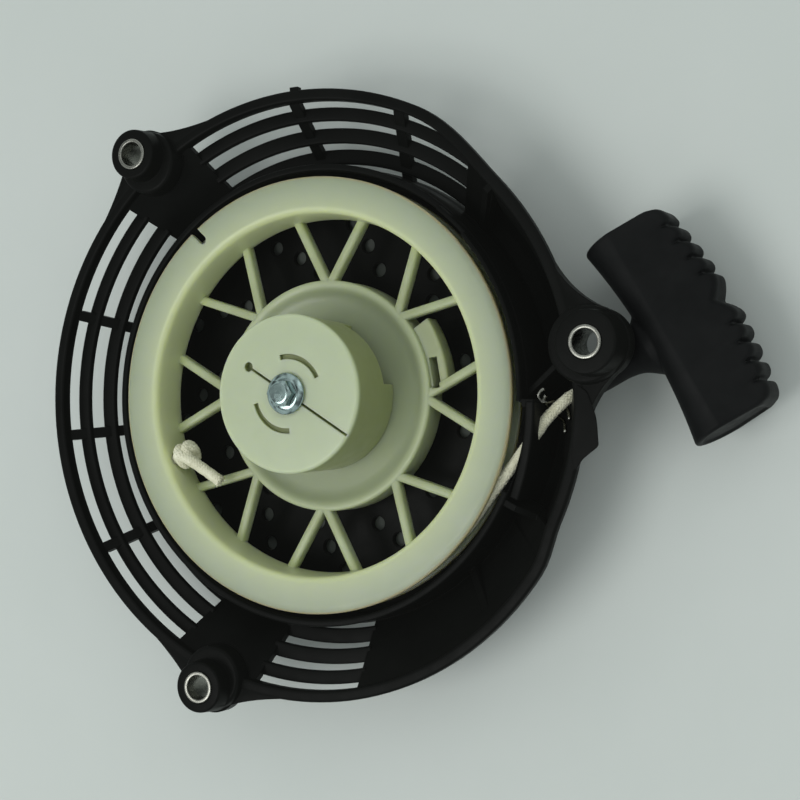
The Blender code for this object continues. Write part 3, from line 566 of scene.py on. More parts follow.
# Top colour, then the side's and the cuts' colours, which are painted shade.
GUIDE_NYLON = shade_guide((0.484, 0.546, 0.380), (0.28, 0.315, 0.150), (0.24, 0.275, 0.110))
STEEL = metal("steel_fine", (0.20, 0.20, 0.18), (0.32, 0.32, 0.285), 0.26, 900.0, 0.10, 8.0)
ZINC = metal("zinc_fine", (0.20, 0.27, 0.26), (0.34, 0.43, 0.42), 0.14, 1400.0, 0.12)
SPRING = metal("spring_fine", (0.20, 0.20, 0.22), (0.30, 0.30, 0.32), 0.34, 1200.0, 0.2, 6.0)
BRASS = metal("brass_fine", (0.55, 0.40, 0.17), (0.70, 0.54, 0.27), 0.30, 1000.0, 0.2)
CORD = cord("cord_fine", (0.86, 0.85, 0.67), (0.62, 0.60, 0.43))


# ---- case

def cone_height(radius, off):
    """Height of the sloping skirt's surface at a radius, off its mid-surface."""
    (r0, z0), (r1, z1) = CONE_LOW, CONE_HIGH
    length = math.dist(CONE_LOW, CONE_HIGH)
    dr, dz = (r1 - r0) / length, (z1 - z0) / length
    return z0 + dr * off + (radius - r0 + dz * off) * dz / dr


def rim_depth(angle):
    """How far the rim is drawn in at an angle, on the side of the rope's outlet."""
    for (a0, d0), (a1, d1) in zip(DRAW_IN, DRAW_IN[1:]):
        if a0 <= angle <= a1:
            t = (angle - a0) / (a1 - a0)
            return d0 + (d1 - d0) * t * t * (3 - 2 * t)
    return 0.0


def draw_in(bm):
    """Moves the outer points of a shape inwards by the rim's depth."""
    for vert in bm.verts:
        radius = math.hypot(vert.co.x, vert.co.y)
        if radius < DRAW_IN_FROM_R:
            continue
        scale = 1 - rim_depth(math.degrees(math.atan2(vert.co.y, vert.co.x))) / radius
        vert.co.x *= scale
        vert.co.y *= scale
    return bm


def wall_radius(z):
    """Radius of the chamber's leaning outer wall at a height."""
    return WALL_FOOT_R + (WALL_HEAD_R - WALL_FOOT_R) * (z - CHAMBER_Z) / (31.0 - CHAMBER_Z)


def case_skirt():
    """The sloping skirt: solid sectors, the rim round them, and ring slats in the open sectors."""
    half = CONE_T / 2
    root, wall, edge = LIP_OUTER_R - 1.0, RIM_INNER_R + 0.4, 98.4
    profile = [(root, cone_height(root, -half)), (edge, cone_height(edge, -half)), (edge, 33.0), (wall, 33.0),
               (wall, cone_height(wall, half)), (root, cone_height(root, half))]
    solid = [(a[1], b[0]) for a, b in zip(SLOTTED, SLOTTED[1:])]
    solid += [(SLOTTED[-1][1], 360 + CHAMBER[0] + 0.5), (CHAMBER[1] - 1.1, SLOTTED[0][0] + 0.3)]
    shapes = [draw_in(revolve(profile, start, end)) for start, end in solid]
    rim = [(RIM_INNER_R, 30.8), (RIM_R, 32.0), (RIM_R, RIM_TOP_Z), (RIM_INNER_R, RIM_TOP_Z)]
    shapes.append(draw_in(revolve(rounded(rim, [0.3, 0.5, 1.0, 0.9], 4))))
    for start, end in SLOTTED:
        for inner, outer, low, high in SLATS:
            slat = [(inner, low), (outer, low + 0.2), (outer, high), (inner + 0.2, high - 0.2)]
            shapes.append(revolve(rounded(slat, 0.45, 3), start - 0.8, end + 0.8))
    return shapes


def case_chamber():
    """The deep part of the dish beside the reel, which the rope crosses."""
    profile = [(LIP_R + 0.6, CHAMBER_Z), (WALL_FOOT_R - 1.0, CHAMBER_Z), (wall_radius(8.0), 8.0),
               (WALL_HEAD_R + 0.8, 31.0), (WALL_HEAD_R + 0.8, 33.0), (WALL_HEAD_R - 1.0, 33.0),
               (WALL_HEAD_R - 1.9, 30.0), (wall_radius(10.5) - 2.2, 10.5),
               (wall_radius(8.5) - 3.2, CHAMBER_Z + FLOOR_T), (LIP_R + 0.6, CHAMBER_Z + FLOOR_T)]
    return draw_in(revolve(rounded(profile, [0, 1, 2, 0, 0, 0, 1, 3, 3, 0], 3), CHAMBER[0], CHAMBER[1]))


def case_gate():
    """The stepped wall that the rope passes on its way off the reel, and the higher lip after it."""
    start, end = GATE
    rings = []
    for i in range(13):
        share = i / 12
        top = LIP_TOP_Z + 0.2 + (GATE_TOP_Z - LIP_TOP_Z) * share ** 0.8
        wall = [(78.1, GATE_LOW_Z), (GATE_R, GATE_LOW_Z), (GATE_R, top), (78.1, top)]
        wall = rounded(wall, [0, 0, 0.7, 0.5])
        rings.append([polar(r, start + (end - start) * share, z) for r, z in wall])
    foot = [(LIP_OUTER_R - 0.4, GATE_LOW_Z), (79.0, GATE_LOW_Z), (79.0, 20.9), (LIP_OUTER_R - 0.4, 20.9)]
    cheek = [(LIP_OUTER_R - 0.6, GATE_LOW_Z), (80.6, GATE_LOW_Z), (80.6, 32.6), (LIP_OUTER_R - 0.6, 32.6)]
    tall = [(LIP_R - 0.2, 24.0), (LIP_OUTER_R - 0.2, 24.0), (LIP_OUTER_R - 0.6, 33.0), (LIP_R + 0.2, 33.0)]
    ramp = [(LIP_R - 0.1, 24.0), (LIP_OUTER_R - 0.1, 24.0), (LIP_OUTER_R - 0.5, 30.8), (LIP_R + 0.3, 30.8)]
    return [loft(rings), revolve(foot, *GATE), revolve(cheek, GATE[1] - 1.2, GATE[1] + 0.6),
            revolve(rounded(tall, [0, 0, 0.7, 0.7]), GATE[1], LIP_HIGH_END),
            revolve(rounded(ramp, [0, 0, 0.7, 0.7]), LIP_HIGH_END - 1.0, LIP_RAMP_END)]


def radial_plate(angle, section, thickness):
    """A flat plate that stands along a radius; section lists its corners as radius and height."""
    side = polar(thickness / 2, angle + 90)
    return loft([[polar(r, angle, z) - side for r, z in section],
                 [polar(r, angle, z) + side for r, z in section]])


def case_partitions():
    """The chamber's end walls and the ribs across the slotted sectors."""
    foot, head = wall_radius(CHAMBER_Z + 1.0), wall_radius(31.0) - 1.0
    root = LIP_R + 0.8
    tight = head - rim_depth(CHAMBER[1])
    upper = [(root, CHAMBER_Z + 0.3), (foot - 1.4, CHAMBER_Z + 0.3), (tight, 31.6), (tight - 2.2, 31.6),
             (root, cone_height(root, 2.5))]
    lower = [(root, CHAMBER_Z + 0.3), (foot - 1.4, CHAMBER_Z + 0.3), (wall_radius(20.4) - 1.0, 20.4),
             (GATE_R, LIP_TOP_Z - 0.6), (root, LIP_TOP_Z - 0.9)]
    low = [(root, cone_height(root, -0.8)), (97.6, cone_height(97.6, -0.8)), (97.6, 32.0),
           (root, cone_height(root, 3.6))]
    rib = [(root, cone_height(root, -1.6)), (97.6, cone_height(97.6, -1.6)), (97.6, 32.0),
           (96.4, cone_height(96.4, 1.0)), (root, cone_height(root, 1.0))]
    guide_wall = bar((75.8, -0.4, 16.6), (86.5, 9.4, 16.6), 1.7, 20.6)
    plates = [radial_plate(CHAMBER[1], upper, 2.4), radial_plate(CHAMBER[0], lower, 2.0),
              radial_plate(LOW_PLATE_ANGLE, low, 2.6), guide_wall]
    return plates + [radial_plate(angle, rib, width) for angle, width in RIBS]


def ear_outline(angle, tip_r, foot_half):
    """Plan of a mounting ear: a round tip that flares into the rim."""
    centre = polar(BOLT_CIRCLE_R, angle)
    tip = [centre + polar(tip_r, angle - 66 + 132 * i / 24) for i in range(25)]
    flanks = []
    for sign in (1, -1):
        start = tip[-1] if sign > 0 else tip[0]
        foot_angle, pull_angle = angle + sign * foot_half, angle + sign * foot_half * 0.56
        foot = polar(RIM_R - 0.6 - rim_depth(foot_angle), foot_angle)
        pull = polar(RIM_R + 1.4 - rim_depth(pull_angle), pull_angle)
        steps = [i / 16 for i in range(1, 17)]
        flanks.append([start * (1 - t) ** 2 + pull * 2 * t * (1 - t) + foot * t * t for t in steps])
    inner = [polar(RIM_INNER_R + 0.6 - rim_depth(angle + foot_half * k), angle + foot_half * k)
             for k in (0.9, 0.6, 0.3, 0, -0.3, -0.6, -0.9)]
    ordered = tip + flanks[0] + inner + list(reversed(flanks[1]))
    return [(p.x, p.y) for p in ordered]


def case_ears():
    """Three flat ears, each with a stepped boss for its bush."""
    shapes = []
    for angle, boss_r, foot_half in EARS.values():
        centre = polar(BOLT_CIRCLE_R, angle)
        inner = polar(BOLT_CIRCLE_R - 2.6, angle)
        boss = [(0, EAR_Z + 1.5), (boss_r + 0.7, EAR_Z + 1.5), (boss_r - 0.2, BOSS_TOP_Z), (0, BOSS_TOP_Z)]
        step = [(0, EAR_Z + 0.6), (boss_r + 2.6, EAR_Z + 0.6), (boss_r + 1.9, 38.2), (0, 38.2)]
        shapes.append(prism(ear_outline(angle, boss_r + 1.0, foot_half), EAR_Z, RIM_TOP_Z - 0.2))
        shapes.append(moved(turned_round(boss, 0.8, 6.0), centre.x, centre.y))
        shapes.append(moved(turned_round(step, 1.2, 6.0), inner.x, inner.y))
    return shapes


def case_nib():
    """Small locating nib on the outside of the rim."""
    return bar(polar(RIM_R - 1.0, NIB_ANGLE, 33.6), polar(RIM_R + 1.1, NIB_ANGLE, 33.6), 3.0, 2.4)


def case_horn():
    """The leaning block that the rope leaves through."""
    outline = [(96.0, 2.2), (99.0, 0.3), (102.2, -7.4), (102.9, -16.4), (97.6, -20.4), (95.2, -24.2),
               (94.2, -19.2)]
    outline = rounded(outline, [0, 1, 3, 1, 2, 1, 0], 4)
    foot = [Vector((x - HORN_LEAN, y, HORN_FOOT_Z)) for x, y in outline]
    return loft([foot, [Vector((x, y, RIM_TOP_Z + 0.08)) for x, y in outline]])


def pull_point(distance, aside=0.0, z=GRIP_Z):
    """A point on or beside the line that the rope is pulled along."""
    a = math.radians(PULL_ANGLE)
    return Vector((PULL_ORIGIN[0] + distance * math.cos(a) + aside * math.sin(a),
                   PULL_ORIGIN[1] + distance * math.sin(a) - aside * math.cos(a), z))


OUTLET_BEND = [pull_point(-3.0, 0.7, 23.6), pull_point(1.0, 0.1, 21.2)]


def case_cutters():
    """Vents, bores, the rope's way out, and the gap that it leaves the reel through."""
    cutters = []
    for arm in range(VENT_ARMS):
        for radius, angle in VENT_HOLES:
            centre = polar(radius, angle + arm * 360 / VENT_ARMS)
            cutters.append(drum(VENT_R, -1.0, FLOOR_T + 1.0, centre[:2], 20))
    cutters.append(drum(POST_BORE_R, 12.0, POST_TOP_Z + 1))
    cutters.append(drum(INSERT_BORE_R, INSERT_LOW_Z, POST_TOP_Z + 1))
    for angle, _, _ in EARS.values():
        centre = polar(BOLT_CIRCLE_R, angle)
        cutters.append(drum(BUSH_R + 0.15, BUSH_LOW_Z - 0.3, BOSS_TOP_Z + 1, centre[:2]))
        cutters.append(drum(BUSH_BORE_R + 0.4, 25.0, BUSH_LOW_Z + 1, centre[:2]))
    cutters.append(sweep([*OUTLET_BEND, pull_point(7.0)], OUTLET_R, 24))
    gate = [(LIP_R - 2, 21.2), (LIP_OUTER_R - 0.2, 21.2), (LIP_OUTER_R - 0.2, 34), (LIP_R - 2, 34)]
    cutters.append(revolve(gate, GATE[0] + 0.4, GATE[1] - 0.4))
    through = [polar(TANGENT_R, ROPE_ANGLE - 90, ROPE_Z) + polar(s, ROPE_ANGLE) for s in (26.0, 46.0)]
    cutters.append(sweep(through, ROPE_R + 0.5, 24))
    return cutters


def make_case():
    """The moulded case: one shell, everything joined to it, and then the cuts."""
    profile = [(0, 0), (74.0, 0), (76.0, 0.9), (77.4, 3.0), (LIP_OUTER_R + 0.6, 10.0), (LIP_OUTER_R, 12.0),
               (LIP_OUTER_R, LIP_TOP_Z), (LIP_R, LIP_TOP_Z), (LIP_R, 4.0), (LIP_R - 1.8, FLOOR_T),
               (POST_R + 3.0, FLOOR_T), (POST_R, FLOOR_T + 3.0), (POST_R, POST_TOP_Z), (0, POST_TOP_Z)]
    radii = [0, 1, 1, 2, 1, 0.6, 0.7, 0.7, 1, 1, 1, 1, 0.5, 0]
    case = make_object("case_shell", turned(rounded(profile, radii)))
    combine(case, "UNION", [*case_skirt(), case_chamber(), *case_gate(), case_horn(), case_nib(),
                            *case_partitions(), *case_ears()])
    combine(case, "DIFFERENCE", case_cutters())
    finish_piece(case, CASE_BLACK, "case", ["case"])


def make_bushes():
    """Steel tubes in the ears."""
    for name, (angle, _, _) in EARS.items():
        centre = polar(BOLT_CIRCLE_R, angle)
        wall = [(BUSH_BORE_R, BUSH_LOW_Z), (BUSH_R, BUSH_LOW_Z), (BUSH_R, BOSS_TOP_Z + 0.4),
                (BUSH_BORE_R, BOSS_TOP_Z + 0.4)]
        ring = moved(revolve(rounded(wall, 0.35, 3), step=5.0), centre.x, centre.y)
        finish_piece(make_object(f"bush_{name}_fine", ring), STEEL, "case", [f"bush_{name}"])


# ---- reel

def make_reel():
    """Pulley: rim, dished hub with its pocket lug, spokes in pairs, pawl posts and the rim's notch."""
    r = REEL_R
    rim = [(DRUM_INNER_R, DRUM_LOW_Z), (DRUM_R, DRUM_LOW_Z), (DRUM_R + 0.4, REEL_LOW_Z),
           (r - 0.5, REEL_LOW_Z), (r - 0.5, GROOVE_LOW_Z - 0.3), (DRUM_R, GROOVE_LOW_Z),
           (DRUM_R, GROOVE_HIGH_Z), (r - 0.1, GROOVE_HIGH_Z + 0.4), (r, REEL_TOP_Z - 0.5),
           (r - 2.0, REEL_TOP_Z), (60.5, REEL_TOP_Z), (60.0, REEL_TOP_Z - 4.2)]
    rim = rounded(rim, [0.6, 0.3, 0.3, 0.8, 0.8, 0.8, 0.8, 0.4, 0.5, 1.6, 3.0, 1.6], 7)
    hub = [(POST_R + 0.3, HUB_LOW_Z), (SLEEVE_R, HUB_LOW_Z), (SLEEVE_R, HUB_PLATE_Z[0]),
           (HUB_R - 2.0, HUB_PLATE_Z[0]), (HUB_R - 2.0, HUB_LOW_Z), (HUB_R, HUB_LOW_Z),
           (HUB_R, HUB_TOP_Z), (HUB_R - 2.2, HUB_TOP_Z), (HUB_R - 5.6, HUB_PLATE_Z[1] + 0.1),
           (SLEEVE_R + 1.0, HUB_PLATE_Z[1]), (SLEEVE_R, HUB_PLATE_Z[1] + 1.0), (SLEEVE_R, SLEEVE_TOP_Z),
           (POST_R + 0.3, SLEEVE_TOP_Z)]
    hub = rounded(hub, [0, 0, 0, 0, 0, 0.4, 1.1, 1.6, 2.4, 0.4, 0.5, 0.4, 0.3], 5)
    reel = make_object("reel_body", revolve(rim, step=1.5))
    lug = [(HUB_R - 1.0, 11.0), (45.0, 11.0), (45.0, 18.2), (HUB_R - 1.0, 18.2)]
    lug = revolve(rounded(lug, [0, 0.5, 0.9, 0]), 4, 34)
    spokes, middle = [], HUB_TOP_Z - 2.5
    for pair in range(SPOKE_PAIRS):
        apex = 360 / SPOKE_PAIRS * pair - 1.0
        for spread in (-SPOKE_SPREAD, SPOKE_SPREAD):
            start = polar(HUB_R - 1.6, apex + spread * 0.06, middle)
            end = polar(DRUM_INNER_R + 0.8, apex + spread, middle)
            spokes.append(bar(start, end, SPOKE_W, SPOKE_H, 1.15))
    posts = [drum(PAWL_POST_R, HUB_PLATE_Z[1] - 1, 26.6, polar(PAWL_PIVOT_R, turn)[:2], 24)
             for turn in (0, 180)]
    combine(reel, "UNION", [revolve(hub), lug, *spokes, *posts])
    pocket = bar(polar(41.2, 3.0, 15), polar(41.2, 17.5, 15), 2.9, 12.0, 0.4)
    notch_tip = polar(RIM_NOTCH_R, RIM_NOTCH_ANGLE, 29)
    notch = bar(polar(74.5, RIM_NOTCH_ANGLE + 1.0, 29), notch_tip, RIM_NOTCH_W, 6.0)
    notch_end = drum(RIM_NOTCH_W / 2, 26, 33, notch_tip[:2], 24)
    rope_hole = sweep([polar(54.0, KNOT_ANGLE, ROPE_Z), polar(66.0, KNOT_ANGLE, ROPE_Z)], 2.4, 24)
    combine(reel, "DIFFERENCE", [pocket, notch, notch_end, rope_hole])
    finish_piece(reel, REEL_NYLON, "reel", ["reel"])


def make_guide():
    """Ratchet cap with its two pawl windows, slit, keyhole and arc grooves."""
    top = GUIDE_TOP_Z
    profile = [(GUIDE_BORE_R, top - 3.0), (GUIDE_R - GUIDE_WALL - 0.2, top - 3.0),
               (GUIDE_BASE_R - GUIDE_WALL, GUIDE_LOW_Z), (GUIDE_BASE_R, GUIDE_LOW_Z), (GUIDE_R, top),
               (GUIDE_BORE_R, top)]
    profile = rounded(profile, [0.2, 0.6, 0.3, 0.5, 1.3, 0.3], 6)
    guide = make_object("ratchet_cap", revolve(profile, step=1.5))
    opening = [(21.0, GUIDE_LOW_Z - 2), (28.0, GUIDE_LOW_Z - 2), (28.0, WINDOW_TOP_Z), (21.0, WINDOW_TOP_Z)]
    windows = [revolve(opening, turn + WINDOW[0], turn + WINDOW[1]) for turn in (0, 180)]
    slit = bar(polar(KEYHOLE_PLACE_R, SLIT_ANGLE, top - 0.2), polar(25.6, SLIT_ANGLE - 180, top - 0.2),
               SLIT_W, 4.0)
    keyhole = drum(KEYHOLE_R, top - 2.4, top + 1, polar(KEYHOLE_PLACE_R, SLIT_ANGLE)[:2], 24)
    arc = [(ARC_INNER_R, top - ARC_DEPTH), (ARC_OUTER_R, top - ARC_DEPTH), (ARC_OUTER_R, top + 1),
           (ARC_INNER_R, top + 1)]
    grooves = [revolve(arc, start, end, 3.0) for start, end in ARCS]
    combine(guide, "DIFFERENCE", [*windows, slit, keyhole, *grooves])
    finish_piece(guide, GUIDE_NYLON, "guide", ["ratchet_guide"])


def make_bolt():
    """Flange bolt with a chamfered hexagon."""
    flange = GUIDE_TOP_Z + 0.4
    corner = BOLT_AF / math.sqrt(3)
    stem = [(0, 24.5), (BOLT_R - 0.6, 24.5), (BOLT_R, 25.1), (BOLT_R, flange), (BOLT_FLANGE_R, flange),
            (BOLT_FLANGE_R, flange + 0.7), (4.9, flange + 1.7), (0, flange + 1.7)]
    bolt = make_object("bolt_fine", turned(rounded(stem, [0, 0, 0, 0, 0.3, 0.4, 0.8, 0], 4), 5.0))
    peak = flange + BOLT_HEAD_H
    head = make_object("bolt_head", prism(circle(corner, 6), flange + 0.5, peak))
    shape = [(0, flange), (6.0, flange), (6.0, flange + 3.9), (3.2, peak), (0, peak)]
    combine(head, "INTERSECT", [turned(rounded(shape, [0, 0, 0, 0.4, 0], 4), 5.0)])
    tip = bmesh.new()
    tip.from_mesh(head.data)
    bpy.data.objects.remove(head)
    combine(bolt, "UNION", [tip])
    finish_piece(bolt, ZINC, "case", ["centre_bolt"])


# ---- rope

STRAND_HALF_W, STRAND_HALF_H, STRAND_WEAVE = 0.50, 0.26, 0.15


def braid(points, radius, strands=8, pitch=9.0, sides=6):
    """A braided sheath of crossing strands over a core, along a path of even steps."""
    rails = frames(points)
    run, distance = [], 0.0
    for i, (point, normal, across) in enumerate(rails):
        distance += (point - rails[i - 1][0]).length if i else 0.0
        run.append(distance)
    shapes = [sweep(points, radius - 0.45, 12)]
    wave = 2 * math.pi / pitch
    for direction in (1, -1):
        for k in range(strands):
            path = []
            for (point, normal, across), s in zip(rails, run):
                angle = direction * wave * s + 2 * math.pi * k / strands
                away = radius - 0.34 + direction * STRAND_WEAVE * math.cos(strands * wave * s)
                path.append(point + (normal * math.cos(angle) + across * math.sin(angle)) * away)
            rings = []
            for (point, normal, across), (centre, _, _) in zip(frames(path), rails):
                out = (point - centre).normalized()
                side = (normal.cross(across)).cross(out).normalized()
                rings.append([point + side * STRAND_HALF_W * math.cos(t) + out * STRAND_HALF_H * math.sin(t)
                              for t in (2 * math.pi * q / sides for q in range(sides))])
            shapes.append(loft(rings))
    return shapes


def fray(tip, along, spread, count, length):
    """Loose fibres at a cut end."""
    shapes = []
    along = along.normalized()
    side = along.orthogonal().normalized()
    for _ in range(count):
        turn, lean = random.uniform(0, 2 * math.pi), random.uniform(0.1, 0.9)
        out = (side * math.cos(turn) + along.cross(side) * math.sin(turn)) * spread
        start = tip + out * random.uniform(0.2, 1.0) - along * 0.8
        reach = random.uniform(0.5, 1.0) * length
        middle = start + along * reach * 0.5 + out * lean * 0.3
        shapes.append(sweep([start, middle, start + along * reach + out * lean], [0.16, 0.13, 0.05], 5))
    return shapes


def rope_path():
    """The rope's middle line: off the coil, straight through the gate, round the outlet and into the grip."""
    tangent = polar(TANGENT_R, ROPE_ANGLE - 90, ROPE_Z)
    along = polar(1.0, ROPE_ANGLE)
    rise = (TANGENT_R - COIL_RADII[0]) / 5
    wound = [polar(COIL_RADII[0] + rise * i, ROPE_ANGLE - 140 + 10 * i, ROPE_Z) for i in range(5)]
    straight = [tangent + along * s for s in (0.0, 8.0, 17.0, 25.0, 32.0, 39.0, 45.0)]
    return wound + straight + OUTLET_BEND + [pull_point(5.0), pull_point(12.0), pull_point(22.0)]


def make_rope():
    """The free rope, which stretches from the case to the grip, and the coil on the reel."""
    run = make_object("rope_free", join(braid(smooth_path(rope_path()), ROPE_R)), weld=0)
    run.data.transform(Matrix.Scale(MM, 4))
    run.data.shade_smooth()
    run.data.materials.append(CORD)
    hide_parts("rope_run")
    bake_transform(run)
    coils = [sweep([polar(r, a, ROPE_Z) for a in range(0, 360, 2)], ROPE_R - 0.05, 14, closed=True)
             for r in COIL_RADII]
    finish_piece(make_object("rope_coil", join(coils), weld=0), CORD, "reel", ["rope_wound"], None)


def make_knot():
    """The rope's knotted end: a core, three braided turns round it, and a frayed tail over the top."""
    centre = polar(KNOT_R, KNOT_ANGLE, ROPE_Z - 0.2)
    tail = Vector(KNOT_TAIL)
    out, side, up = polar(1.0, KNOT_ANGLE), polar(1.0, KNOT_ANGLE + 90), Vector((0, 0, 1))
    shapes = [moved(turned([(0, -3.2), (2.0, -2.5), (3.0, -1.0), (3.0, 1.0), (2.0, 2.5), (0, 3.2)]), *centre)]
    turns = [(side, up, out, -1.5), (side, up, out, 1.9),
             (out * 2 + side, up * 3 - side, side * 2 - out, 0.4)]
    for first, second, axis, shift in turns:
        first, second, axis = first.normalized(), second.normalized(), axis.normalized()
        ring = [centre + axis * shift + (first * math.cos(t) + second * math.sin(t)) * KNOT_TURN_R
                for t in (2 * math.pi * i / 48 for i in range(49))]
        shapes += braid(ring, KNOT_ROPE_R)
    wall = [polar(r, KNOT_ANGLE, ROPE_Z) for r in (61.4, 59.0, 56.5)]
    end = [centre + out * 2.6 + up * 2.0, centre + out * 0.6 + up * 3.9, centre.lerp(tail, 0.3) + up * 2.4,
           centre.lerp(tail, 0.65) + up * 0.9, tail]
    shapes += braid(smooth_path(wall), ROPE_R) + braid(smooth_path(end), ROPE_R + 0.1)
    shapes += fray(tail, tail - centre, 1.4, 26, 1.7)
    finish_piece(make_object("knot_fine", join(shapes), weld=0), CORD, "reel", ["reel_knot"], None)


def make_wire_guide():
    """Bent wire that keeps the rope in its corner: a hook beside the rope and two ends past it."""
    hook = [(81.9, 1.5, 26.6), (80.6, 0.6, 27.0), (80.0, -1.0, 27.0), (80.8, -2.4, 26.6), (82.6, -2.6, 25.2),
            (84.6, -2.5, 22.6), (87.2, -4.2, 22.0), (89.2, -6.4, 24.4), (90.6, -8.0, 27.6)]
    second = [(82.4, -0.6, 26.6), (81.5, -1.8, 26.2), (82.0, -4.2, 23.6), (83.6, -6.4, 21.9),
              (86.6, -8.4, 22.8), (88.2, -10.4, 25.2), (89.4, -12.0, 28.0)]
    wires = [sweep(smooth_path(wire), WIRE_R, 10) for wire in (hook, second)]
    finish_piece(make_object("wire_guide", join(wires), weld=0), STEEL, "case", ["rope_guide"], None)


# ---- grip

def toothed_edge(aside):
    """The grip's outer edge at a distance from its middle: a centre notch and rounded teeth."""
    a = abs(aside)
    edge = GRIP_OUTER + GRIP_BOW * (1 - (a / GRIP_HALF) ** 1.6)
    if a < NOTCH_PEAK:
        return edge - NOTCH_DEPTH * (1 - a / NOTCH_PEAK) ** 1.5
    if a < GRIP_GAPS[0]:
        share, depth = (a - NOTCH_PEAK) / (GRIP_GAPS[0] - NOTCH_PEAK), GAP_DEPTH
    elif a > GRIP_GAPS[-1]:
        peak = GRIP_GAPS[-1] + END_TOOTH_HALF
        reach = GRIP_HALF - peak if a > peak else END_TOOTH_HALF
        share, depth = abs(a - peak) / reach, END_TOOTH_DROP if a > peak else GAP_DEPTH
    else:
        low, high = [(g, h) for g, h in zip(GRIP_GAPS, GRIP_GAPS[1:]) if g <= a <= h][0]
        share, depth = abs(a - (low + high) / 2) / ((high - low) / 2), GAP_DEPTH
    return edge - depth * (1 - max(0.0, 1 - min(1.0, 1.15 * share) ** 2.8) ** 0.5)


def grip_section(aside, trim, count=24):
    """The grip's outline across its bar, drawn in by trim."""
    inner = GRIP_INNER + GRIP_WAIST * (1 - (aside / GRIP_HALF) ** 2) + trim
    ridge = GRIP_INNER + (GRIP_OUTER - GRIP_INNER) * GRIP_RIDGE + GRIP_WAIST * 0.5
    outer = toothed_edge(aside) - trim
    slope = (GRIP_HALF_Z - GRIP_EDGE_Z) / (GRIP_OUTER + GRIP_BOW - ridge)
    upper = [(ridge - (ridge - inner) * math.cos(t), (GRIP_HALF_Z - trim) * math.sin(t))
             for t in (math.pi / 2 * i / count for i in range(count + 1))]
    for back, drop in ((12.0, 0.0), (6.0, 0.0), (2.6, 0.0), (1.5, 0.15), (0.8, 0.55), (0.3, 1.2), (0.05, 2.0),
                       (0.0, 2.8)):
        u = outer - back
        upper.append((u, GRIP_HALF_Z - trim - slope * (u - ridge) - drop))
    lower = [(u, -z) for u, z in reversed(upper[1:])]
    return [pull_point(u, aside, GRIP_Z + z) for u, z in upper + lower]


def shrunk(ring, margin, aside):
    """An end ring moved inwards by a margin and to another distance from the bar's middle."""
    middle = sum(ring, Vector()) / len(ring)
    axis = pull_point(0, 1.0) - pull_point(0, 0.0)
    shift = axis * (aside - (middle - pull_point(0)).dot(axis))
    return [p + (middle - p).normalized() * margin + shift for p in ring]


def make_grip():
    """Handle: the toothed bar, its stem, and the bores for the rope and its knot."""
    count = 300
    half = GRIP_HALF
    rings = []
    for sign in (-1, 1):
        rim = [grip_section(sign * half, 1.0)]
        rim.append(shrunk(rim[0], 0.5, sign * half))
        rim.append(shrunk(rim[0], 1.4, sign * (half - 0.1)))
        rim.append(shrunk(rim[0], 1.9, sign * (half - 0.7)))
        rings.append(rim)
    body = []
    for i in range(count + 1):
        aside = -half + 2 * half * i / count
        edge = min(half - abs(aside), 1.0)
        body.append(grip_section(aside, 1.0 - math.sqrt(1 - (1 - edge) ** 2)))
    whole = list(reversed(rings[0])) + body[1:-1] + rings[1]
    grip = make_object("grip_body", loft(whole))
    neck = [(GRIP_MOUTH, STEM_R - 0.7), (GRIP_MOUTH + 0.3, STEM_R - 0.25), (GRIP_MOUTH + 0.9, STEM_R),
            (12.0, STEM_R + 0.35), (17.0, STEM_R + 0.6), (20.0, STEM_R + 1.1), (22.5, 6.3), (24.5, 7.6),
            (26.5, 9.2), (28.5, 10.8), (34.0, 11.2)]
    stem = sweep([pull_point(d) for d, _ in neck], [r for _, r in neck], 48)
    for vert in stem.verts:
        vert.co.z = GRIP_Z + (vert.co.z - GRIP_Z) * 0.85
    combine(grip, "UNION", [stem])
    bore = sweep([pull_point(GRIP_MOUTH - 2), pull_point(26.0)], ROPE_R + 0.5, 24)
    pocket = sweep([pull_point(25.0), pull_point(37.0)], 5.0, 32)
    corners = (pull_point(26.0, -5), pull_point(36.0, -5), pull_point(36.0, 5), pull_point(26.0, 5))
    mouth = prism([(p.x, p.y) for p in corners], -5, GRIP_Z)
    combine(grip, "DIFFERENCE", [bore, pocket, mouth])
    remesh = grip.modifiers.new("even", "REMESH")
    remesh.mode, remesh.voxel_size = "VOXEL", GRIP_VOXEL
    soften = grip.modifiers.new("soft", "SMOOTH")
    soften.factor, soften.iterations = 0.5, 3
    bake(grip)
    finish_piece(grip, GRIP_BLACK, "grip", ["grip"], None)


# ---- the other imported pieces

def dress_rest():
    """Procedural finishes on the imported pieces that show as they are."""
    finishes = {"steel": STEEL, "spring_steel": SPRING, "brass": BRASS, "rope": CORD, "nylon": REEL_NYLON,
                "zinc_plate": ZINC, "case_plastic": CASE_BLACK, "grip_plastic": GRIP_BLACK}
    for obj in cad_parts.values():
        if obj.hide_render:
            continue
        slot = obj.data.materials[0].name.split(".")[0] if obj.data.materials else "steel"
        finish = finishes.get(slot, STEEL)
        obj.data.materials.clear()
        obj.data.materials.append(finish)


# ---- studio

LIGHT_TARGET = Vector((0, 0, 0.02))
SKY_COLOUR, SKY_STRENGTH = (0.90, 0.96, 0.95, 1.0), 0.60
DARK_PATCH, LIGHT_PATCH = 0.10, 0.95
FLOOR_HALF, FLOOR_GAP = 20.0, 0.0003
CAMERA_PLACE = Vector((0.28025, -0.013165, 0.53096))
CAMERA_RIGHT = Vector((0.896951, 0.003839, -0.442113))
CAMERA_UP = Vector((0.005465, 0.999790, 0.019768))
CAMERA_AHEAD = Vector((-0.442096, 0.020147, -0.896742))
CAMERA_LENS = 77.88


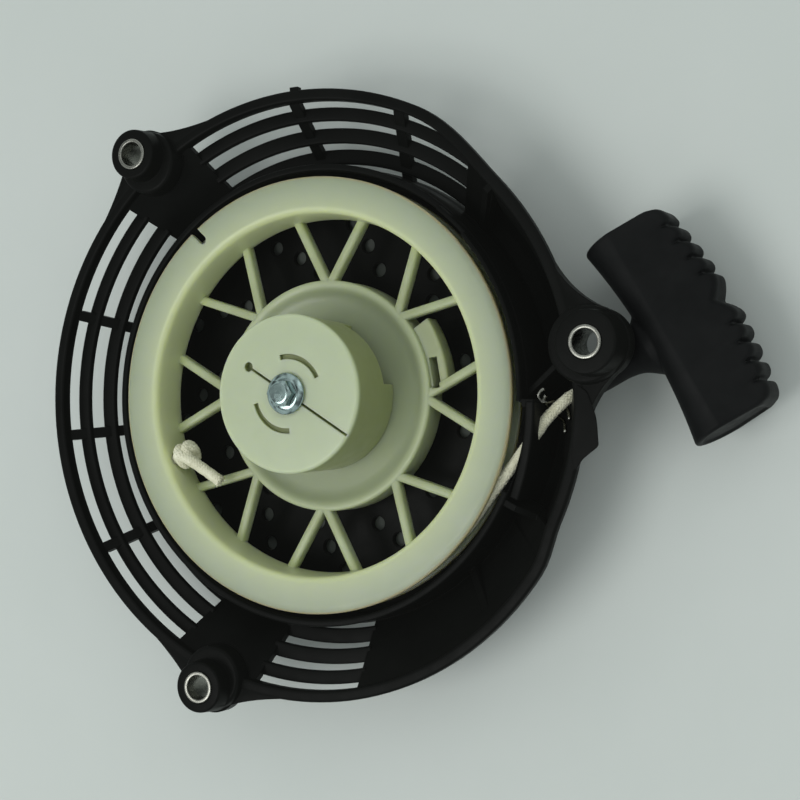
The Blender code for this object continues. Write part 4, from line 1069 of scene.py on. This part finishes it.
def area_light(name, place, size, power, colour):
    data = bpy.data.lights.new(name, "AREA")
    data.shape, data.size, data.energy, data.color = "DISK", size, power, colour
    obj = bpy.data.objects.new(name, data)
    obj.location = place
    obj.rotation_euler = (LIGHT_TARGET - Vector(place)).to_track_quat("-Z", "Y").to_euler()
    bpy.context.scene.collection.objects.link(obj)


def dim_reflections(tree, sky):
    """Shows mirrors a room of broad dark and light patches, and leaves the light itself even."""
    room = tree.nodes.new("ShaderNodeTexNoise")
    room.inputs["Scale"].default_value, room.inputs["Detail"].default_value = 2.2, 1.0
    place = tree.nodes.new("ShaderNodeTexCoord")
    tree.links.new(place.outputs["Generated"], room.inputs["Vector"])
    spread = tree.nodes.new("ShaderNodeMapRange")
    spread.inputs["From Min"].default_value, spread.inputs["From Max"].default_value = 0.42, 0.58
    spread.inputs["To Min"].default_value, spread.inputs["To Max"].default_value = DARK_PATCH, LIGHT_PATCH
    tree.links.new(room.outputs["Fac"], spread.inputs["Value"])
    path = tree.nodes.new("ShaderNodeLightPath")
    choose = tree.nodes.new("ShaderNodeMix")
    choose.inputs[2].default_value = SKY_STRENGTH
    tree.links.new(path.outputs["Is Glossy Ray"], choose.inputs[0])
    tree.links.new(spread.outputs["Result"], choose.inputs[3])
    tree.links.new(choose.outputs[0], sky.inputs["Strength"])


def make_studio():
    """Pale floor, soft key and fill lights, and an even sky."""
    bpy.context.scene.view_settings.view_transform = "Standard"
    bm = bmesh.new()
    bmesh.ops.create_grid(bm, x_segments=8, y_segments=8, size=FLOOR_HALF)
    floor = make_object("floor", bm)
    floor.data.transform(Matrix.Translation((0, 0, -FLOOR_GAP)))
    floor.data.materials.append(floor_finish())
    area_light("key", (-0.42, -0.40, 1.30), 0.80, 6.6, (1.0, 1.0, 0.985))
    area_light("fill", (0.9, 0.7, 1.1), 1.2, 2.5, (0.97, 1.0, 1.0))
    world = bpy.data.worlds.new("studio")
    bpy.context.scene.world = world
    world.use_nodes = True
    sky = world.node_tree.nodes["Background"]
    sky.inputs["Color"].default_value = SKY_COLOUR
    sky.inputs["Strength"].default_value = SKY_STRENGTH
    dim_reflections(world.node_tree, sky)


def make_camera():
    """A long-lens camera that looks down from the right."""
    data = bpy.data.cameras.new("camera")
    data.lens, data.sensor_width = CAMERA_LENS, 36.0
    data.clip_start, data.clip_end = 0.02, 20.0
    camera = bpy.data.objects.new("camera", data)
    turn = Matrix((CAMERA_RIGHT, CAMERA_UP, -CAMERA_AHEAD)).transposed().to_4x4()
    camera.matrix_world = Matrix.Translation(CAMERA_PLACE) @ turn
    bpy.context.scene.collection.objects.link(camera)
    bpy.context.scene.camera = camera


make_case()
make_bushes()
make_reel()
make_guide()
make_bolt()
make_rope()
make_knot()
make_wire_guide()
make_grip()
dress_rest()
make_studio()
make_camera()
